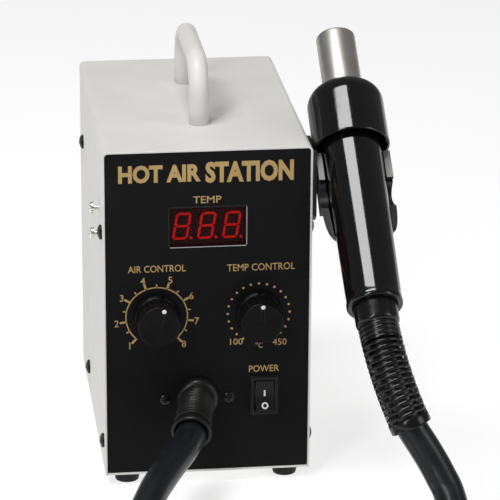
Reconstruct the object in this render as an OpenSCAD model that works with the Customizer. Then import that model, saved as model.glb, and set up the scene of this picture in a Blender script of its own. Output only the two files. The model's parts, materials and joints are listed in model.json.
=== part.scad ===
// Hot air station: a tall steel case with a handpiece hung in a side holder.
// Millimetres, +Z up, the front panel faces -Y and the feet stand on z = 0.

/* [Case] */
// Width of the steel case
body_w = 120; // [116:1:124]
// Depth of the steel case
body_d = 186; // [182:1:190]
// Height of the steel case without its feet
body_h = 198; // [194:1:204]
// Thickness of the folded sheet steel
sheet_t = 1.2; // [1:0.1:1.4]
// Outside radius of the two folded top edges
bend_r = 3.2; // [2.4:0.1:4]
// Height of the rubber feet
foot_h = 6.5; // [6:0.1:8]
// Diameter of a foot where it meets the case
foot_top_d = 16.4; // [15:0.1:18]
// Diameter of a foot where it meets the bench
foot_low_d = 13.6; // [12:0.1:14]

/* [Carry handle] */
// Diameter of the bent steel bar
bar_d = 11.6; // [10:0.1:13]
// Clear height from the case top to the top of the bar
bar_rise = 41; // [36:1:46]
// Distance from the front face to the front leg
bar_front = 50; // [46:1:56]
// Distance between the two legs
bar_span = 85; // [80:1:90]
// Bend radius of the bar's centre line
bar_bend = 18; // [14:1:20]

/* [Controls] */
// Sideways distance from the middle to each dial
dial_x = 29.5; // [28:0.5:31]
// Height of the two dials above the case's bottom edge
dial_z = 98; // [94:1:100]
// Diameter of a knob's skirt
knob_d = 27.2; // [26.8:0.2:27.6]
// Diameter of a knob's front face
knob_face_d = 24; // [23.4:0.2:24.2]
// Height of a knob
knob_h = 16.8; // [15:0.2:18]
// Angle that the air knob points to at rest, clockwise from the top
air_rest = 16.5; // [0:0.5:30]
// Angle that the temperature knob points to at rest, clockwise from the top
temp_rest = 2.5; // [0:0.5:30]
// Width of the display window
window_w = 45.6; // [44:0.2:47]
// Height of the display window
window_h = 25; // [24:0.2:26]
// Height of the window's lower edge above the case's bottom edge
window_z = 139; // [136:1:142]
// Tilt of the rocker at rest, towards its pressed end
rocker_tilt = 11; // [9:1:12]

/* [Handpiece] */
// Lean of the handpiece from the vertical, in degrees
hand_lean = 50.6; // [48:0.2:54]
// Turn of the handpiece about the upright, seen from above
hand_turn = 1.3; // [0:0.1:1.6]
// Outside diameter of the steel nozzle barrel
barrel_d = 22.8; // [22:0.1:23]
// Distance from the collar's lower rim to the barrel's tip
barrel_tip = 77; // [74:1:80]
// Outside diameter of the collar
collar_d = 44.2; // [43:0.2:46]
// Diameter of the grip under the collar
grip_top_d = 33.8; // [33:0.1:34.4]
// Diameter of the grip at its end
grip_end_d = 31; // [30:0.2:32]
// Length of the grip below the collar
grip_len = 105; // [102:1:107]

/* [Hose] */
// Diameter of the hose
hose_d = 17.4; // [17:0.1:17.4]
// Mean radius of the coil's outer turn
coil_r = 96.7; // [96:0.1:98]

/* [Hidden] */
$fn = 48;

fit = 0.15;               // gap between sheets that slide together
m3_d = 3;
m3_hole_d = 3.1;
m3_free_d = 3.4;
nut_h = 2.4;
in_w = body_w - 2 * sheet_t;
in_h = body_h - sheet_t;
panel_t = 1.6;
panel_y = 0.8;            // the front panel sits back from the case's edge
panel_back = panel_y + panel_t;
rear_y = body_d - 2;
tray_flange_h = 24;

// The origin is under the middle of everything except the hose.
collar_r = collar_d / 2;
holder_t = 3;
cradle_in_r = 17.8;
cradle_out_r = 21.8;
cradle_flat = 1;          // the cradle's side is flattened where it meets its plate
hand_x = body_w / 2 + holder_t + cradle_out_r - cradle_flat;
hand_y = 12;
hand_z = 192;
guard_bend_r = 107.5;
guard_turn = 38;
guard_azimuth = 51.8;
guard_out_r = 11.9;
guard_in_r = 9;
barrel_shoulder = 46;
cradle_top = -2.2;
cradle_len = 52;
cradle_end_r = 18.4;      // outside radius at the cradle's lower end
bowl_top = -36;           // from here down the cradle's wall turns inwards
prong_len = 18;
prong_step = 3.2;         // how far the cradle's edge steps back under the prongs
scoop_at = [-2, -29.4];
scoop_r = 9.4;
hanger_out = 6.1;
inlet_flange = 3;         // how far the inlet's flange stands proud
inlet_head = 1.7;         // and the heads of its screws on that
inlet_y = rear_y + sheet_t;
guard_low_y = -120.22;    // lowest y of the hose guard's open end
guard_right_x = 111.9;    // and its furthest x
mid_x = (guard_right_x - body_w / 2 - hanger_out) / 2;
mid_y = (inlet_y + inlet_flange + inlet_head + guard_low_y) / 2;

screw_side = [[11, 147], [160, 154], [11, 18], [127, 18]];
hanger_at = [[27, 156.5], [27, 141]];
holder_at = [[23, 156.5], [23, 141]];
gland_x = -6.3;
gland_z = 47.5;
gland_screw_x = 18.6;
gland_screw_z = gland_z - 1;
gland_r = 12.3;
gland_h = 7.6;
gland_hole_d = 18;
boot_turn = 12.4;         // the boot points this far to the left
boot_drop = 18;           // and this far down
boot_len = 33;
rocker_x = 33;
rocker_z = 47;
rocker_y = 0.2;           // depth of the rocker's pivot
rocker_r = 9.2;
rocker_w = 11.2;
rocker_pin_d = 2.4;
switch_w = 13.2;          // the switch's body behind the panel
switch_h = 21.4;
switch_d = 15;
bezel_w = 16.4;
bezel_h = 24.5;
pot_hole_d = 7.2;
shaft_d = 6;
knob_gap = 0.9;           // how far a knob's skirt stands off the panel
bar_screw_d = 5;
bar_back = bar_front + bar_span;
bar_z = body_h + bar_rise - bar_d / 2;
foot_x = 46.6;
foot_ys = [11, 175];
blower_x = gland_x;
blower_y = 116;
blower_z = 82;
scroll_r = 37;
scroll_w = 24;
scroll_in_r = scroll_r - 2.4;
outlet_end = 64;
outlet_drop = gland_z - blower_z;
duct_in_r = 6.4;
air_d = 9.6;
motor_d = 36;
motor_shaft_d = 5;
inlet_x = 30;
inlet_z = 45;
inlet_w = 26.8;
inlet_h = 19.2;
inlet_screw_x = 20;
board_x = -49.4;
board_y = 93;
board_t = 1.6;
spacer_l = 6;
spacer_ys = [98, 170];
spacer_zs = [30, 112];
led_y = panel_back + 1.4;
led_t = 7.4;
digit_pitch = 14.7;
digit_h = 17;
digit_w = 9.6;
digit_slant = 9;

coil_at = [38, -176];
coil_in_r = coil_r - hose_d;
hose_r = hose_d / 2;

// The centre line of the hose guard, a degrees round its bend from the grip's end.
function guard_point(a) = let (
        out = guard_bend_r * (1 - cos(a)),
        x = out * cos(guard_azimuth),
        y = out * sin(guard_azimuth),
        z = -grip_len - guard_bend_r * sin(a))
    let (back = y * cos(hand_lean) + z * sin(hand_lean))
        [hand_x + x * cos(hand_turn) - back * sin(hand_turn),
            hand_y + x * sin(hand_turn) + back * cos(hand_turn),
            hand_z + foot_h - y * sin(hand_lean) + z * cos(hand_lean)];

// The hose's free route, in the case's x and y but above the bench, from the boot
// down to the coil.
hose_out = [[-10.9, -22, 47.6], [-13.1, -32, 44.2], [-18.6, -44, 40.9], [-26, -56, 37.6],
    [-33, -68, 34.3], [-39.4, -80, 30.8], [-48, -100, 23.5], [-54, -120, 16.2],
    [-57.2, -140, hose_r + 2.2], [-58.7, -158, hose_r], [-58.7, -176, hose_r]];
// And from the coil up through the hose guard.
hose_back = concat([[114.6, -196.5, hose_r], [119, -178, 11.2], [121.6, -163, 16.6],
    [122, -150, 24], [121.1, -138.4, 32.9], [118.7, -127, 44.3], [115.4, -122, 51.3],
    [111.3, -117.2, 58.9], [106.1, -112.6, 67.4]], [for (i = [0:6]) guard_point(guard_turn * (1 - i / 6))]);

function unit(v) = v / norm(v);
// The tangent at point i of a list of points.
function along(p, i) = unit(p[min(i + 1, len(p) - 1)] - p[max(i - 1, 0)]);
// A point on a smooth curve through the list, u of the way from point i to the next.
function smooth(p, i, u) = let (
        a = p[max(i - 1, 0)], b = p[i], c = p[i + 1], d = p[min(i + 2, len(p) - 1)])
    0.5 * (2 * b + (c - a) * u + (2 * a - 5 * b + 4 * c - d) * u * u
        + (3 * b - a - 3 * c + d) * u * u * u);

// Everything is drawn in the case's frame: x = 0 is the case's middle, y = 0 its
// front edge and z = 0 its bottom edge. This moves it over the origin and onto the bench.
module on_bench() {
    translate([-mid_x, -mid_y, foot_h]) children();
}

// The handpiece's frame: z runs along it to the nozzle, from the collar's lower rim.
module on_handpiece() {
    on_bench() translate([hand_x, hand_y, hand_z]) rotate([-hand_lean, 0, hand_turn]) children();
}

// Runs from the panel towards the viewer.
module out_front(x, y, z) {
    translate([x, y, z]) rotate([90, 0, 0]) children();
}

module tube(r_out, r_in, h) {
    difference() {
        cylinder(r = r_out, h = h);
        translate([0, 0, -1]) cylinder(r = r_in, h = h + 2);
    }
}

// A pan head screw whose head's underside is at z = 0 and whose shank runs down.
module pan_screw(head_d, head_h, shank_d, shank_l, slots = true) {
    difference() {
        intersection() {
            cylinder(d = head_d, h = head_h);
            translate([0, 0, head_h - head_d * 0.85]) sphere(r = head_d * 0.85);
        }
        if (slots) {
            for (a = [0, 90]) {
                rotate([0, 0, a])
                    translate([-head_d * 0.3, -head_d * 0.06, head_h * 0.45])
                        cube([head_d * 0.6, head_d * 0.12, head_h]);
            }
        }
    }
    translate([0, 0, -shank_l]) cylinder(d = shank_d, h = shank_l + 0.01);
}

// An M3 nut standing on z = 0.
module nut() {
    difference() {
        cylinder(d = 6.4, h = nut_h, $fn = 6);
        translate([0, 0, -1]) cylinder(d = m3_hole_d, h = nut_h + 2);
    }
}

module round_rect(w, h, r) {
    translate([r, 0]) square([w - 2 * r, h]);
    translate([0, r]) square([w, h - 2 * r]);
    for (x = [r, w - r]) {
        for (y = [r, h - r]) translate([x, y]) circle(r = r);
    }
}

module centred_rect(w, h, r) {
    translate([-w / 2, -h / 2]) round_rect(w, h, r);
}

// ---- Case ----

module case_outline(w, h, r) {
    translate([-w / 2, 0]) square([w, h - r]);
    translate([-w / 2 + r, 0]) square([w - 2 * r, h]);
    for (s = [-1, 1]) translate([s * (w / 2 - r), h - r]) circle(r = r);
}

module side_screw_holes(d) {
    for (p = screw_side) {
        translate([-body_w / 2 - 1, p[0], p[1]]) rotate([0, 90, 0]) cylinder(d = d, h = body_w + 2);
    }
}

module case_cover() {
    hole_h = 10;
    color("gainsboro") on_bench() difference() {
        translate([0, body_d, 0]) rotate([90, 0, 0]) linear_extrude(body_d) difference() {
            case_outline(body_w, body_h, bend_r);
            translate([0, -1]) case_outline(in_w, in_h + 1, bend_r - sheet_t);
        }
        side_screw_holes(m3_free_d);
        for (y = [bar_front, bar_back]) {
            translate([0, y, body_h - hole_h / 2]) cylinder(d = bar_screw_d + 0.2, h = hole_h);
        }
        for (p = hanger_at) {
            translate([-body_w / 2 - hole_h / 2, p[0], p[1]]) rotate([0, 90, 0])
                cylinder(d = m3_hole_d, h = hole_h);
        }
        for (p = holder_at) {
            translate([body_w / 2 - hole_h / 2, p[0], p[1]]) rotate([0, 90, 0])
                cylinder(d = m3_hole_d, h = hole_h);
        }
    }
}

module chassis_tray() {
    w = in_w - 2 * fit;
    color("gainsboro") on_bench() difference() {
        union() {
            translate([-w / 2, 0.6, 0]) cube([w, body_d - 1.2, sheet_t]);
            for (s = [-1, 1]) {
                translate([s > 0 ? w / 2 - sheet_t : -w / 2, 4, 0])
                    cube([sheet_t, body_d - 8, tray_flange_h]);
            }
        }
        side_screw_holes(2.8);
        for (x = [-foot_x, foot_x]) {
            for (y = foot_ys) translate([x, y, -1]) cylinder(d = 3.2, h = 4);
        }
    }
}

module panel_outline() {
    w = in_w - 2 * fit;
    h = in_h - fit - sheet_t - 0.1;
    translate([-w / 2, sheet_t + 0.1]) round_rect(w, h, 2);
}

module front_panel() {
    cut = panel_t + 2;
    color([0.09, 0.09, 0.1]) on_bench() difference() {
        translate([0, panel_back, 0]) rotate([90, 0, 0]) linear_extrude(panel_t) panel_outline();
        translate([-window_w / 2, panel_y - 1, window_z]) cube([window_w, cut, window_h]);
        for (x = [-dial_x, dial_x]) out_front(x, panel_back + 1, dial_z) cylinder(d = pot_hole_d, h = cut);
        translate([rocker_x - switch_w / 2 - 0.15, panel_y - 1, rocker_z - switch_h / 2 - 0.2])
            cube([switch_w + 0.3, cut, switch_h + 0.4]);
        out_front(gland_x, panel_back + 1, gland_z) cylinder(d = gland_hole_d, h = cut);
        for (s = [-1, 1]) {
            out_front(gland_x + s * gland_screw_x, panel_back + 1, gland_screw_z)
                cylinder(d = m3_hole_d + 0.1, h = cut);
        }
    }
}

module rear_panel() {
    vents = 10;
    vent_w = 36;
    vent_h = 2.6;
    vent_pitch = 6.5;
    vent_x = 22;
    vent_z = 120;
    color([0.1, 0.1, 0.11]) on_bench() difference() {
        translate([0, inlet_y, 0]) rotate([90, 0, 0]) linear_extrude(sheet_t) panel_outline();
        for (i = [0:vents - 1]) {
            for (s = [-1, 1]) {
                translate([s * vent_x - vent_w / 2, rear_y - 1, vent_z + i * vent_pitch])
                    cube([vent_w, sheet_t + 2, vent_h]);
            }
        }
        translate([inlet_x - inlet_w / 2 - 0.2, rear_y - 1, inlet_z - inlet_h / 2 - 0.2])
            cube([inlet_w + 0.4, sheet_t + 2, inlet_h + 0.4]);
        for (s = [-1, 1]) {
            translate([inlet_x + s * inlet_screw_x, rear_y - 1, inlet_z]) rotate([-90, 0, 0])
                cylinder(d = m3_hole_d + 0.1, h = sheet_t + 2);
        }
    }
}

// A pair of angles that two side screws pull against. The long leg lies along the cover
// from y = from to y = to, and the short leg lies against a panel at y = panel.
module cover_bracket(screw, from, to, panel) {
    leg = 14;
    tall = 14;
    for (s = [-1, 1]) {
        x = s * (in_w / 2 - fit);
        difference() {
            union() {
                translate([min(x, x - s * sheet_t), from, screw[1] - tall / 2])
                    cube([sheet_t, to - from, tall]);
                translate([min(x, x - s * leg), panel, screw[1] - tall / 2]) cube([leg, sheet_t, tall]);
            }
            translate([x - 4, screw[0], screw[1]]) rotate([0, 90, 0]) cylinder(d = 2.8, h = 8);
        }
    }
}

module cover_brackets() {
    edge = 6;
    color("silver") on_bench() {
        cover_bracket(screw_side[0], panel_back, screw_side[0][0] + edge, panel_back);
        cover_bracket(screw_side[1], screw_side[1][0] - edge, rear_y, rear_y - sheet_t);
    }
}

module cover_screws() {
    head_d = 8.6;
    head_h = 2.6;
    color([0.06, 0.06, 0.06]) on_bench() {
        for (p = screw_side) {
            for (s = [-1, 1]) {
                translate([s * body_w / 2, p[0], p[1]]) rotate([0, s * 90, 0])
                    pan_screw(head_d, head_h, 2.7, 3.6);
            }
        }
    }
}

module hanger_screws() {
    head_h = 2.8;
    color("silver") on_bench() {
        for (p = hanger_at) {
            translate([-body_w / 2 - hanger_out + head_h, p[0], p[1]]) rotate([0, -90, 0])
                pan_screw(7, head_h, m3_d, 8);
            translate([-body_w / 2 + sheet_t + nut_h, p[0], p[1]]) rotate([0, -90, 0]) nut();
        }
    }
}

module bar_corner() {
    rotate_extrude(angle = 90) translate([bar_bend, 0]) circle(d = bar_d);
}

module carry_handle() {
    leg_h = bar_z - bar_bend - body_h;
    thread_h = 12;
    color("gainsboro") on_bench() difference() {
        union() {
            for (y = [bar_front, bar_back]) {
                translate([0, y, body_h]) cylinder(d = bar_d, h = leg_h);
            }
            translate([0, bar_front + bar_bend, bar_z]) rotate([-90, 0, 0])
                cylinder(d = bar_d, h = bar_span - 2 * bar_bend);
            translate([0, bar_front + bar_bend, bar_z - bar_bend]) rotate([90, 0, 90])
                rotate([0, 0, 90]) bar_corner();
            translate([0, bar_back - bar_bend, bar_z - bar_bend]) rotate([90, 0, 90]) bar_corner();
        }
        for (y = [bar_front, bar_back]) {
            translate([0, y, body_h - 1]) cylinder(d = bar_screw_d + 0.2, h = thread_h + 1);
        }
    }
}

module handle_screws() {
    washer_t = 1.2;
    color("silver") on_bench() {
        for (y = [bar_front, bar_back]) {
            translate([0, y, body_h - sheet_t - washer_t]) {
                rotate([180, 0, 0]) pan_screw(9, 3, bar_screw_d, 13);
                tube(6, bar_screw_d / 2 + 0.15, washer_t);
            }
        }
    }
}

module at_feet(z) {
    for (x = [-foot_x, foot_x]) {
        for (y = foot_ys) translate([x, y, z]) children();
    }
}

module feet() {
    pocket_h = 3;
    color([0.05, 0.05, 0.05]) on_bench() at_feet(-foot_h) difference() {
        cylinder(d1 = foot_low_d, d2 = foot_top_d, h = foot_h);
        translate([0, 0, -1]) cylinder(d = 7.4, h = pocket_h + 1);
        cylinder(d = m3_free_d, h = foot_h + 1);
    }
}

module feet_screws() {
    pocket_h = 3;
    color("silver") on_bench() {
        at_feet(-foot_h + pocket_h) rotate([180, 0, 0]) pan_screw(6.4, 1.8, m3_d, 7);
        at_feet(sheet_t) nut();
    }
}

// ---- Front panel parts ----

module display_window() {
    color([0.35, 0.02, 0.02, 0.7]) on_bench()
        translate([-window_w / 2 + fit, panel_y + 0.5, window_z + fit])
            cube([window_w - 2 * fit, 1.1, window_h - 2 * fit]);
}

module display_frame() {
    border = 4;
    color([0.05, 0.05, 0.05]) on_bench() difference() {
        translate([-window_w / 2 - border, panel_back, window_z - border + 0.5])
            cube([window_w + 2 * border, 3, window_h + 2 * border - 1]);
        translate([-window_w / 2 + 0.5, panel_back - 1, window_z + 0.9])
            cube([window_w - 1, 5, window_h - 1.8]);
    }
}

module led_block() {
    color([0.12, 0.12, 0.12]) on_bench()
        translate([-window_w / 2 + 0.7, led_y, window_z + 1]) cube([window_w - 1.4, led_t, window_h - 2]);
}

// One slanted bar of a seven segment digit, drawn lying along x.
module segment(l, t) {
    polygon([[-l / 2, 0], [-l / 2 + t / 2, t / 2], [l / 2 - t / 2, t / 2], [l / 2, 0],
        [l / 2 - t / 2, -t / 2], [-l / 2 + t / 2, -t / 2]]);
}

module digit() {
    t = 2.1;
    gap = 0.35;
    dot_d = 2;
    half = digit_h / 2 - t / 2;
    for (z = [-half, 0, half]) translate([z * tan(digit_slant), z]) segment(digit_w - t - gap, t);
    for (s = [-1, 1]) {
        for (z = [-half / 2, half / 2]) {
            translate([s * (digit_w - t) / 2 + z * tan(digit_slant), z])
                rotate([0, 0, 90 - digit_slant]) segment(half - gap, t);
        }
    }
    translate([digit_w / 2 + 0.9, (dot_d - digit_h) / 2]) circle(d = dot_d);
}

module led_digits() {
    color("red") on_bench() {
        for (i = [-1:1]) {
            out_front(i * digit_pitch - 0.6, led_y, window_z + window_h / 2) linear_extrude(0.25) digit();
        }
    }
}

module display_board() {
    board = [54, 1.6, 40];
    chip = [8, 2.2, 12];
    color("darkgreen") on_bench() {
        translate([-board[0] / 2, led_y + led_t, window_z - 8]) cube(board);
        for (i = [-1:1]) {
            translate([i * 15 - chip[0] / 2, led_y + led_t + board[1], window_z + 2]) cube(chip);
        }
    }
}

module potentiometer(x) {
    can_d = 17;
    can_h = 9.4;
    bush_d = 7;
    bush_h = 4.2;
    lug = [2, 8, 0.6];
    lug_pitch = 5;
    out_front(x, panel_back, dial_z) {
        difference() {
            union() {
                translate([0, 0, -can_h]) cylinder(d = can_d, h = can_h);
                cylinder(d = bush_d, h = bush_h);
                for (i = [-1:1]) translate([i * lug_pitch - lug[0] / 2, -15, -6]) cube(lug);
            }
            translate([0, 0, -7]) cylinder(d = shaft_d + 0.1, h = 20);
        }
    }
}

module air_pot() {
    color("slategray") on_bench() potentiometer(-dial_x);
}

module temp_pot() {
    color("slategray") on_bench() potentiometer(dial_x);
}

module pot_nuts() {
    color("silver") on_bench() {
        for (x = [-dial_x, dial_x]) {
            out_front(x, panel_y, dial_z) difference() {
                cylinder(d = 11, h = 2, $fn = 6);
                translate([0, 0, -1]) cylinder(d = pot_hole_d - 0.1, h = 4);
            }
        }
    }
}

module knob(x, rest) {
    skirt_h = 3;
    skirt_edge = 1;
    body_low_d = knob_face_d + 0.9;
    edge = 0.8;
    flutes = 20;
    flute_r = 1.1;
    groove_w = 2.6;
    groove_t = 0.4;
    out_front(x, panel_y - knob_gap, dial_z) rotate([0, 0, -rest]) difference() {
        union() {
            cylinder(d = knob_d, h = skirt_edge);
            translate([0, 0, skirt_edge]) cylinder(d1 = knob_d, d2 = knob_d - 1.8, h = skirt_h - skirt_edge);
            translate([0, 0, skirt_h])
                cylinder(d1 = body_low_d, d2 = knob_face_d, h = knob_h - skirt_h - edge);
            translate([0, 0, knob_h - edge])
                cylinder(d1 = knob_face_d, d2 = knob_face_d - 2 * edge, h = edge);
        }
        for (i = [0:flutes - 1]) {
            rotate([0, 0, (i + 0.5) * 360 / flutes])
                translate([knob_face_d / 2 + 0.9, 0, skirt_h + 0.01]) cylinder(r = flute_r, h = knob_h);
        }
        translate([-0.9, knob_d / 2 - 1.4, -1]) cube([1.8, 3, skirt_h + 2]);
        translate([-groove_w / 2, 0, knob_h - groove_t]) cube([groove_w, knob_face_d / 2 - 3.2, 1]);
        translate([0, 0, knob_h - groove_t]) cylinder(d = groove_w, h = 1);
        translate([0, 0, -1]) cylinder(d = 13, h = 4.4);
        translate([0, 0, -1]) cylinder(d = shaft_d + 0.04, h = 13);
    }
}

module knob_shaft(x) {
    out_front(x, panel_back + 6, dial_z) cylinder(d = shaft_d, h = 18);
}

module air_knob() {
    color([0.03, 0.03, 0.03]) on_bench() knob(-dial_x, air_rest);
}

module air_shaft() {
    color("silver") on_bench() knob_shaft(-dial_x);
}

module temp_knob() {
    color([0.03, 0.03, 0.03]) on_bench() knob(dial_x, temp_rest);
}

module temp_shaft() {
    color("silver") on_bench() knob_shaft(dial_x);
}

module switch_housing() {
    color([0.05, 0.05, 0.05]) on_bench() difference() {
        union() {
            out_front(rocker_x, panel_y, rocker_z) {
                linear_extrude(1.6) centred_rect(bezel_w, bezel_h, 1);
                translate([0, 0, 1.6]) linear_extrude(0.6) centred_rect(bezel_w - 1.2, bezel_h - 1.2, 0.8);
            }
            translate([rocker_x - switch_w / 2, panel_y, rocker_z - switch_h / 2])
                cube([switch_w, switch_d, switch_h]);
        }
        translate([rocker_x - rocker_w / 2 - 0.35, panel_y - 3, rocker_z - rocker_r - 0.4])
            cube([rocker_w + 0.7, switch_d - 0.4, 2 * rocker_r + 0.8]);
        translate([rocker_x - 10, rocker_y, rocker_z]) rotate([0, 90, 0])
            cylinder(d = rocker_pin_d + 0.1, h = 20);
    }
}

module switch_rocker() {
    end = rocker_r + 0.2;
    pin_l = switch_w - 0.1;
    color([0.04, 0.04, 0.04]) on_bench() translate([rocker_x, rocker_y, rocker_z])
        rotate([-rocker_tilt, 0, 0]) rotate([0, 90, 0]) union() {
            translate([0, 0, -rocker_w / 2]) linear_extrude(rocker_w) intersection() {
                circle(r = rocker_r);
                polygon([[-end, -3.2], [0, -1.9], [end, -3.2], [end, 3], [4, 7.4], [-4, 7.4], [-end, 3]]);
            }
            translate([0, 0, -pin_l / 2]) cylinder(d = rocker_pin_d, h = pin_l);
        }
}

module switch_terminals() {
    tab = [4.8, 9, 0.8];
    color("silver") on_bench() {
        for (z = [-6, 0]) translate([rocker_x - tab[0] / 2, panel_y + switch_d, rocker_z + z]) cube(tab);
    }
}

module on_boot() {
    on_bench() translate([gland_x, panel_y - 2, gland_z + 0.5])
        rotate([0, 0, -boot_turn]) rotate([90 + boot_drop, 0, 0]) children();
}

module gland_flange() {
    color([0.07, 0.07, 0.07]) on_bench() out_front(gland_x, panel_y, gland_z) rotate_extrude()
        polygon([[8.9, 0], [gland_r, 0], [gland_r, 5.2], [gland_r - 0.4, 6.4], [gland_r - 1.2, 7.2],
            [gland_r - 2.1, gland_h], [8.9, gland_h]]);
}

module gland_boot() {
    ribs = 6;
    rib_pitch = 3.1;
    neck_r = 10.3;
    bore_h = 12;
    color([0.08, 0.08, 0.08]) intersection() {
        on_boot() difference() {
            union() {
                cylinder(r = neck_r, h = boot_len);
                for (i = [0:ribs]) translate([0, 0, 7.2 + i * rib_pitch]) cylinder(r = neck_r + 0.6, h = 2.2);
                translate([0, 0, boot_len - 4]) cylinder(r = neck_r + 1.3, h = 3.4);
            }
            translate([0, 0, boot_len - bore_h]) cylinder(r = hose_r + 0.25, h = bore_h + 2);
            translate([0, 0, -8]) cylinder(r = 6.6, h = boot_len);
        }
        on_bench() translate([gland_x - 40, -60, gland_z - 40]) cube([80, 60 + panel_y - gland_h, 80]);
    }
}

module gland_screws() {
    color([0.08, 0.08, 0.08]) on_bench() {
        for (s = [-1, 1]) {
            out_front(gland_x + s * gland_screw_x, panel_y, gland_screw_z) pan_screw(6.2, 1.9, m3_d, 5.6);
        }
    }
}

module gland_plate() {
    plate = [48, 2, 23];
    color("silver") on_bench() difference() {
        translate([gland_x - plate[0] / 2, panel_back, gland_z - 12]) cube(plate);
        out_front(gland_x, panel_back + plate[1] + 1, gland_z) cylinder(d = gland_hole_d, h = plate[1] + 2);
        for (s = [-1, 1]) {
            out_front(gland_x + s * gland_screw_x, panel_back + plate[1] + 1, gland_screw_z)
                cylinder(d = m3_hole_d, h = plate[1] + 2);
        }
    }
}

module air_spigot() {
    barb_d = 17.6;
    color("goldenrod") on_bench() out_front(gland_x, 24, gland_z) difference() {
        union() {
            cylinder(d = duct_in_r * 2 - 0.2, h = 30.8);
            translate([0, 0, 16]) cylinder(d = barb_d, h = 7.2);
        }
        translate([0, 0, -1]) cylinder(d = air_d, h = 33);
    }
}

// ---- Blower ----

module air_duct() {
    color("whitesmoke") on_bench() out_front(gland_x, outlet_end + 8, gland_z)
        tube(duct_in_r + 1.8, duct_in_r, outlet_end - 4);
}

module blower_scroll() {
    wall = 2;
    outlet_w = 20;
    outlet_h = 18;
    throat = [16, blower_y - outlet_end - 14, 13.6];
    color([0.12, 0.12, 0.13]) on_bench() translate([blower_x, blower_y, blower_z]) difference() {
        union() {
            rotate([0, 90, 0]) translate([0, 0, -scroll_w / 2]) cylinder(r = scroll_r, h = scroll_w);
            translate([-outlet_w / 2, outlet_end + 12 - blower_y, outlet_drop - outlet_h / 2])
                cube([outlet_w, blower_y - outlet_end - 12, outlet_h]);
            out_front(0, outlet_end + 13 - blower_y, outlet_drop) cylinder(d = duct_in_r * 2 - 0.1, h = 13);
        }
        rotate([0, 90, 0]) translate([0, 0, -scroll_w / 2 + wall]) cylinder(r = scroll_in_r, h = scroll_w);
        rotate([0, -90, 0]) cylinder(d = 26, h = scroll_w);
        translate([-throat[0] / 2, outlet_end + 14 - blower_y, outlet_drop - throat[2] / 2]) cube(throat);
        out_front(0, outlet_end + 20 - blower_y, outlet_drop) cylinder(d = air_d, h = 24);
    }
}

module blower_lid() {
    lid_t = 2;
    boss_r = scroll_r - 3;
    color([0.12, 0.12, 0.13]) on_bench() translate([blower_x + scroll_w / 2, blower_y, blower_z])
        rotate([0, 90, 0]) difference() {
            union() {
                cylinder(r = scroll_r, h = lid_t);
                for (a = [45:90:315]) rotate([0, 0, a]) translate([boss_r, 0, lid_t / 2])
                    cylinder(d = 5, h = 2.6);
            }
            translate([0, 0, -1]) cylinder(d = 12, h = lid_t + 4);
        }
}

module blower_motor() {
    can_h = 30;
    color("silver") on_bench() translate([blower_x + scroll_w / 2 + 2, blower_y, blower_z])
        rotate([0, 90, 0]) difference() {
            union() {
                cylinder(d = motor_d, h = can_h);
                translate([0, 0, can_h]) cylinder(d = 16, h = 3);
            }
            translate([0, 0, -1]) cylinder(d = motor_shaft_d + 0.1, h = can_h);
        }
}

module motor_shaft() {
    color("silver") on_bench() translate([blower_x - 5, blower_y, blower_z]) rotate([0, 90, 0])
        cylinder(d = motor_shaft_d, h = 42);
}

module blower_impeller() {
    blades = 18;
    wheel_r = 27;
    hub_h = 13.6;
    disc_t = 1.6;
    blade = [11, 1.2, 12.6];
    blade_lean = 28;
    color("whitesmoke") on_bench() translate([blower_x - 7, blower_y, blower_z]) rotate([0, 90, 0])
        difference() {
            union() {
                translate([0, 0, hub_h - disc_t]) cylinder(r = wheel_r, h = disc_t);
                cylinder(d = 12, h = hub_h);
                for (i = [0:blades - 1]) {
                    rotate([0, 0, i * 360 / blades]) translate([wheel_r - 8, 0, 0])
                        rotate([0, 0, blade_lean]) translate([-4, -blade[1] / 2, 0]) cube(blade);
                }
                tube(wheel_r, wheel_r - 1.4, 1.4);
            }
            translate([0, 0, 2]) cylinder(d = motor_shaft_d, h = 20);
        }
}

// Two plates with hollowed tops carry the scroll and a third the motor, on one base.
module blower_stand() {
    plate = 1.6;
    wide = 30;
    left = -11;
    right = 34;
    axis_h = blower_z - sheet_t;
    color("silver") on_bench() translate([blower_x, blower_y, sheet_t]) difference() {
        union() {
            translate([left, -wide / 2, 0]) cube([right - left, wide, plate]);
            for (x = [left, 9.4]) translate([x, -wide / 2, 0]) cube([plate, wide, axis_h - scroll_r + 4]);
            for (x = [20, right - plate]) translate([x, -wide / 2, 0]) cube([plate, wide, axis_h - 8]);
        }
        translate([left - 1, 0, axis_h]) rotate([0, 90, 0]) cylinder(r = scroll_r + 0.05, h = 28);
        translate([15, 0, axis_h]) rotate([0, 90, 0]) cylinder(d = motor_d + 0.1, h = 20);
        translate([left - 1, -wide / 2 - 1, axis_h + outlet_drop - 10]) cube([28, wide / 2 + 1.5, 20]);
    }
}

// ---- Boards and mains ----

module board_bracket() {
    back = board_x - spacer_l - sheet_t;
    long = 84;
    tall = 118;
    color("silver") on_bench() difference() {
        union() {
            translate([back, board_y - 1, sheet_t]) cube([sheet_t, long, tall]);
            translate([back, board_y - 1, sheet_t]) cube([14, long, sheet_t]);
        }
        translate([-foot_x, foot_ys[1], 0]) cylinder(d = 9, h = 8);
        translate([back - 1, screw_side[3][0], screw_side[3][1]]) rotate([0, 90, 0])
            cylinder(d = 6, h = 4);
    }
}

module board_spacers() {
    color("goldenrod") on_bench() {
        for (y = spacer_ys) {
            for (z = spacer_zs) translate([board_x - spacer_l, y, z]) rotate([0, 90, 0])
                cylinder(d = 5.5, h = spacer_l, $fn = 6);
        }
    }
}

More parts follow.
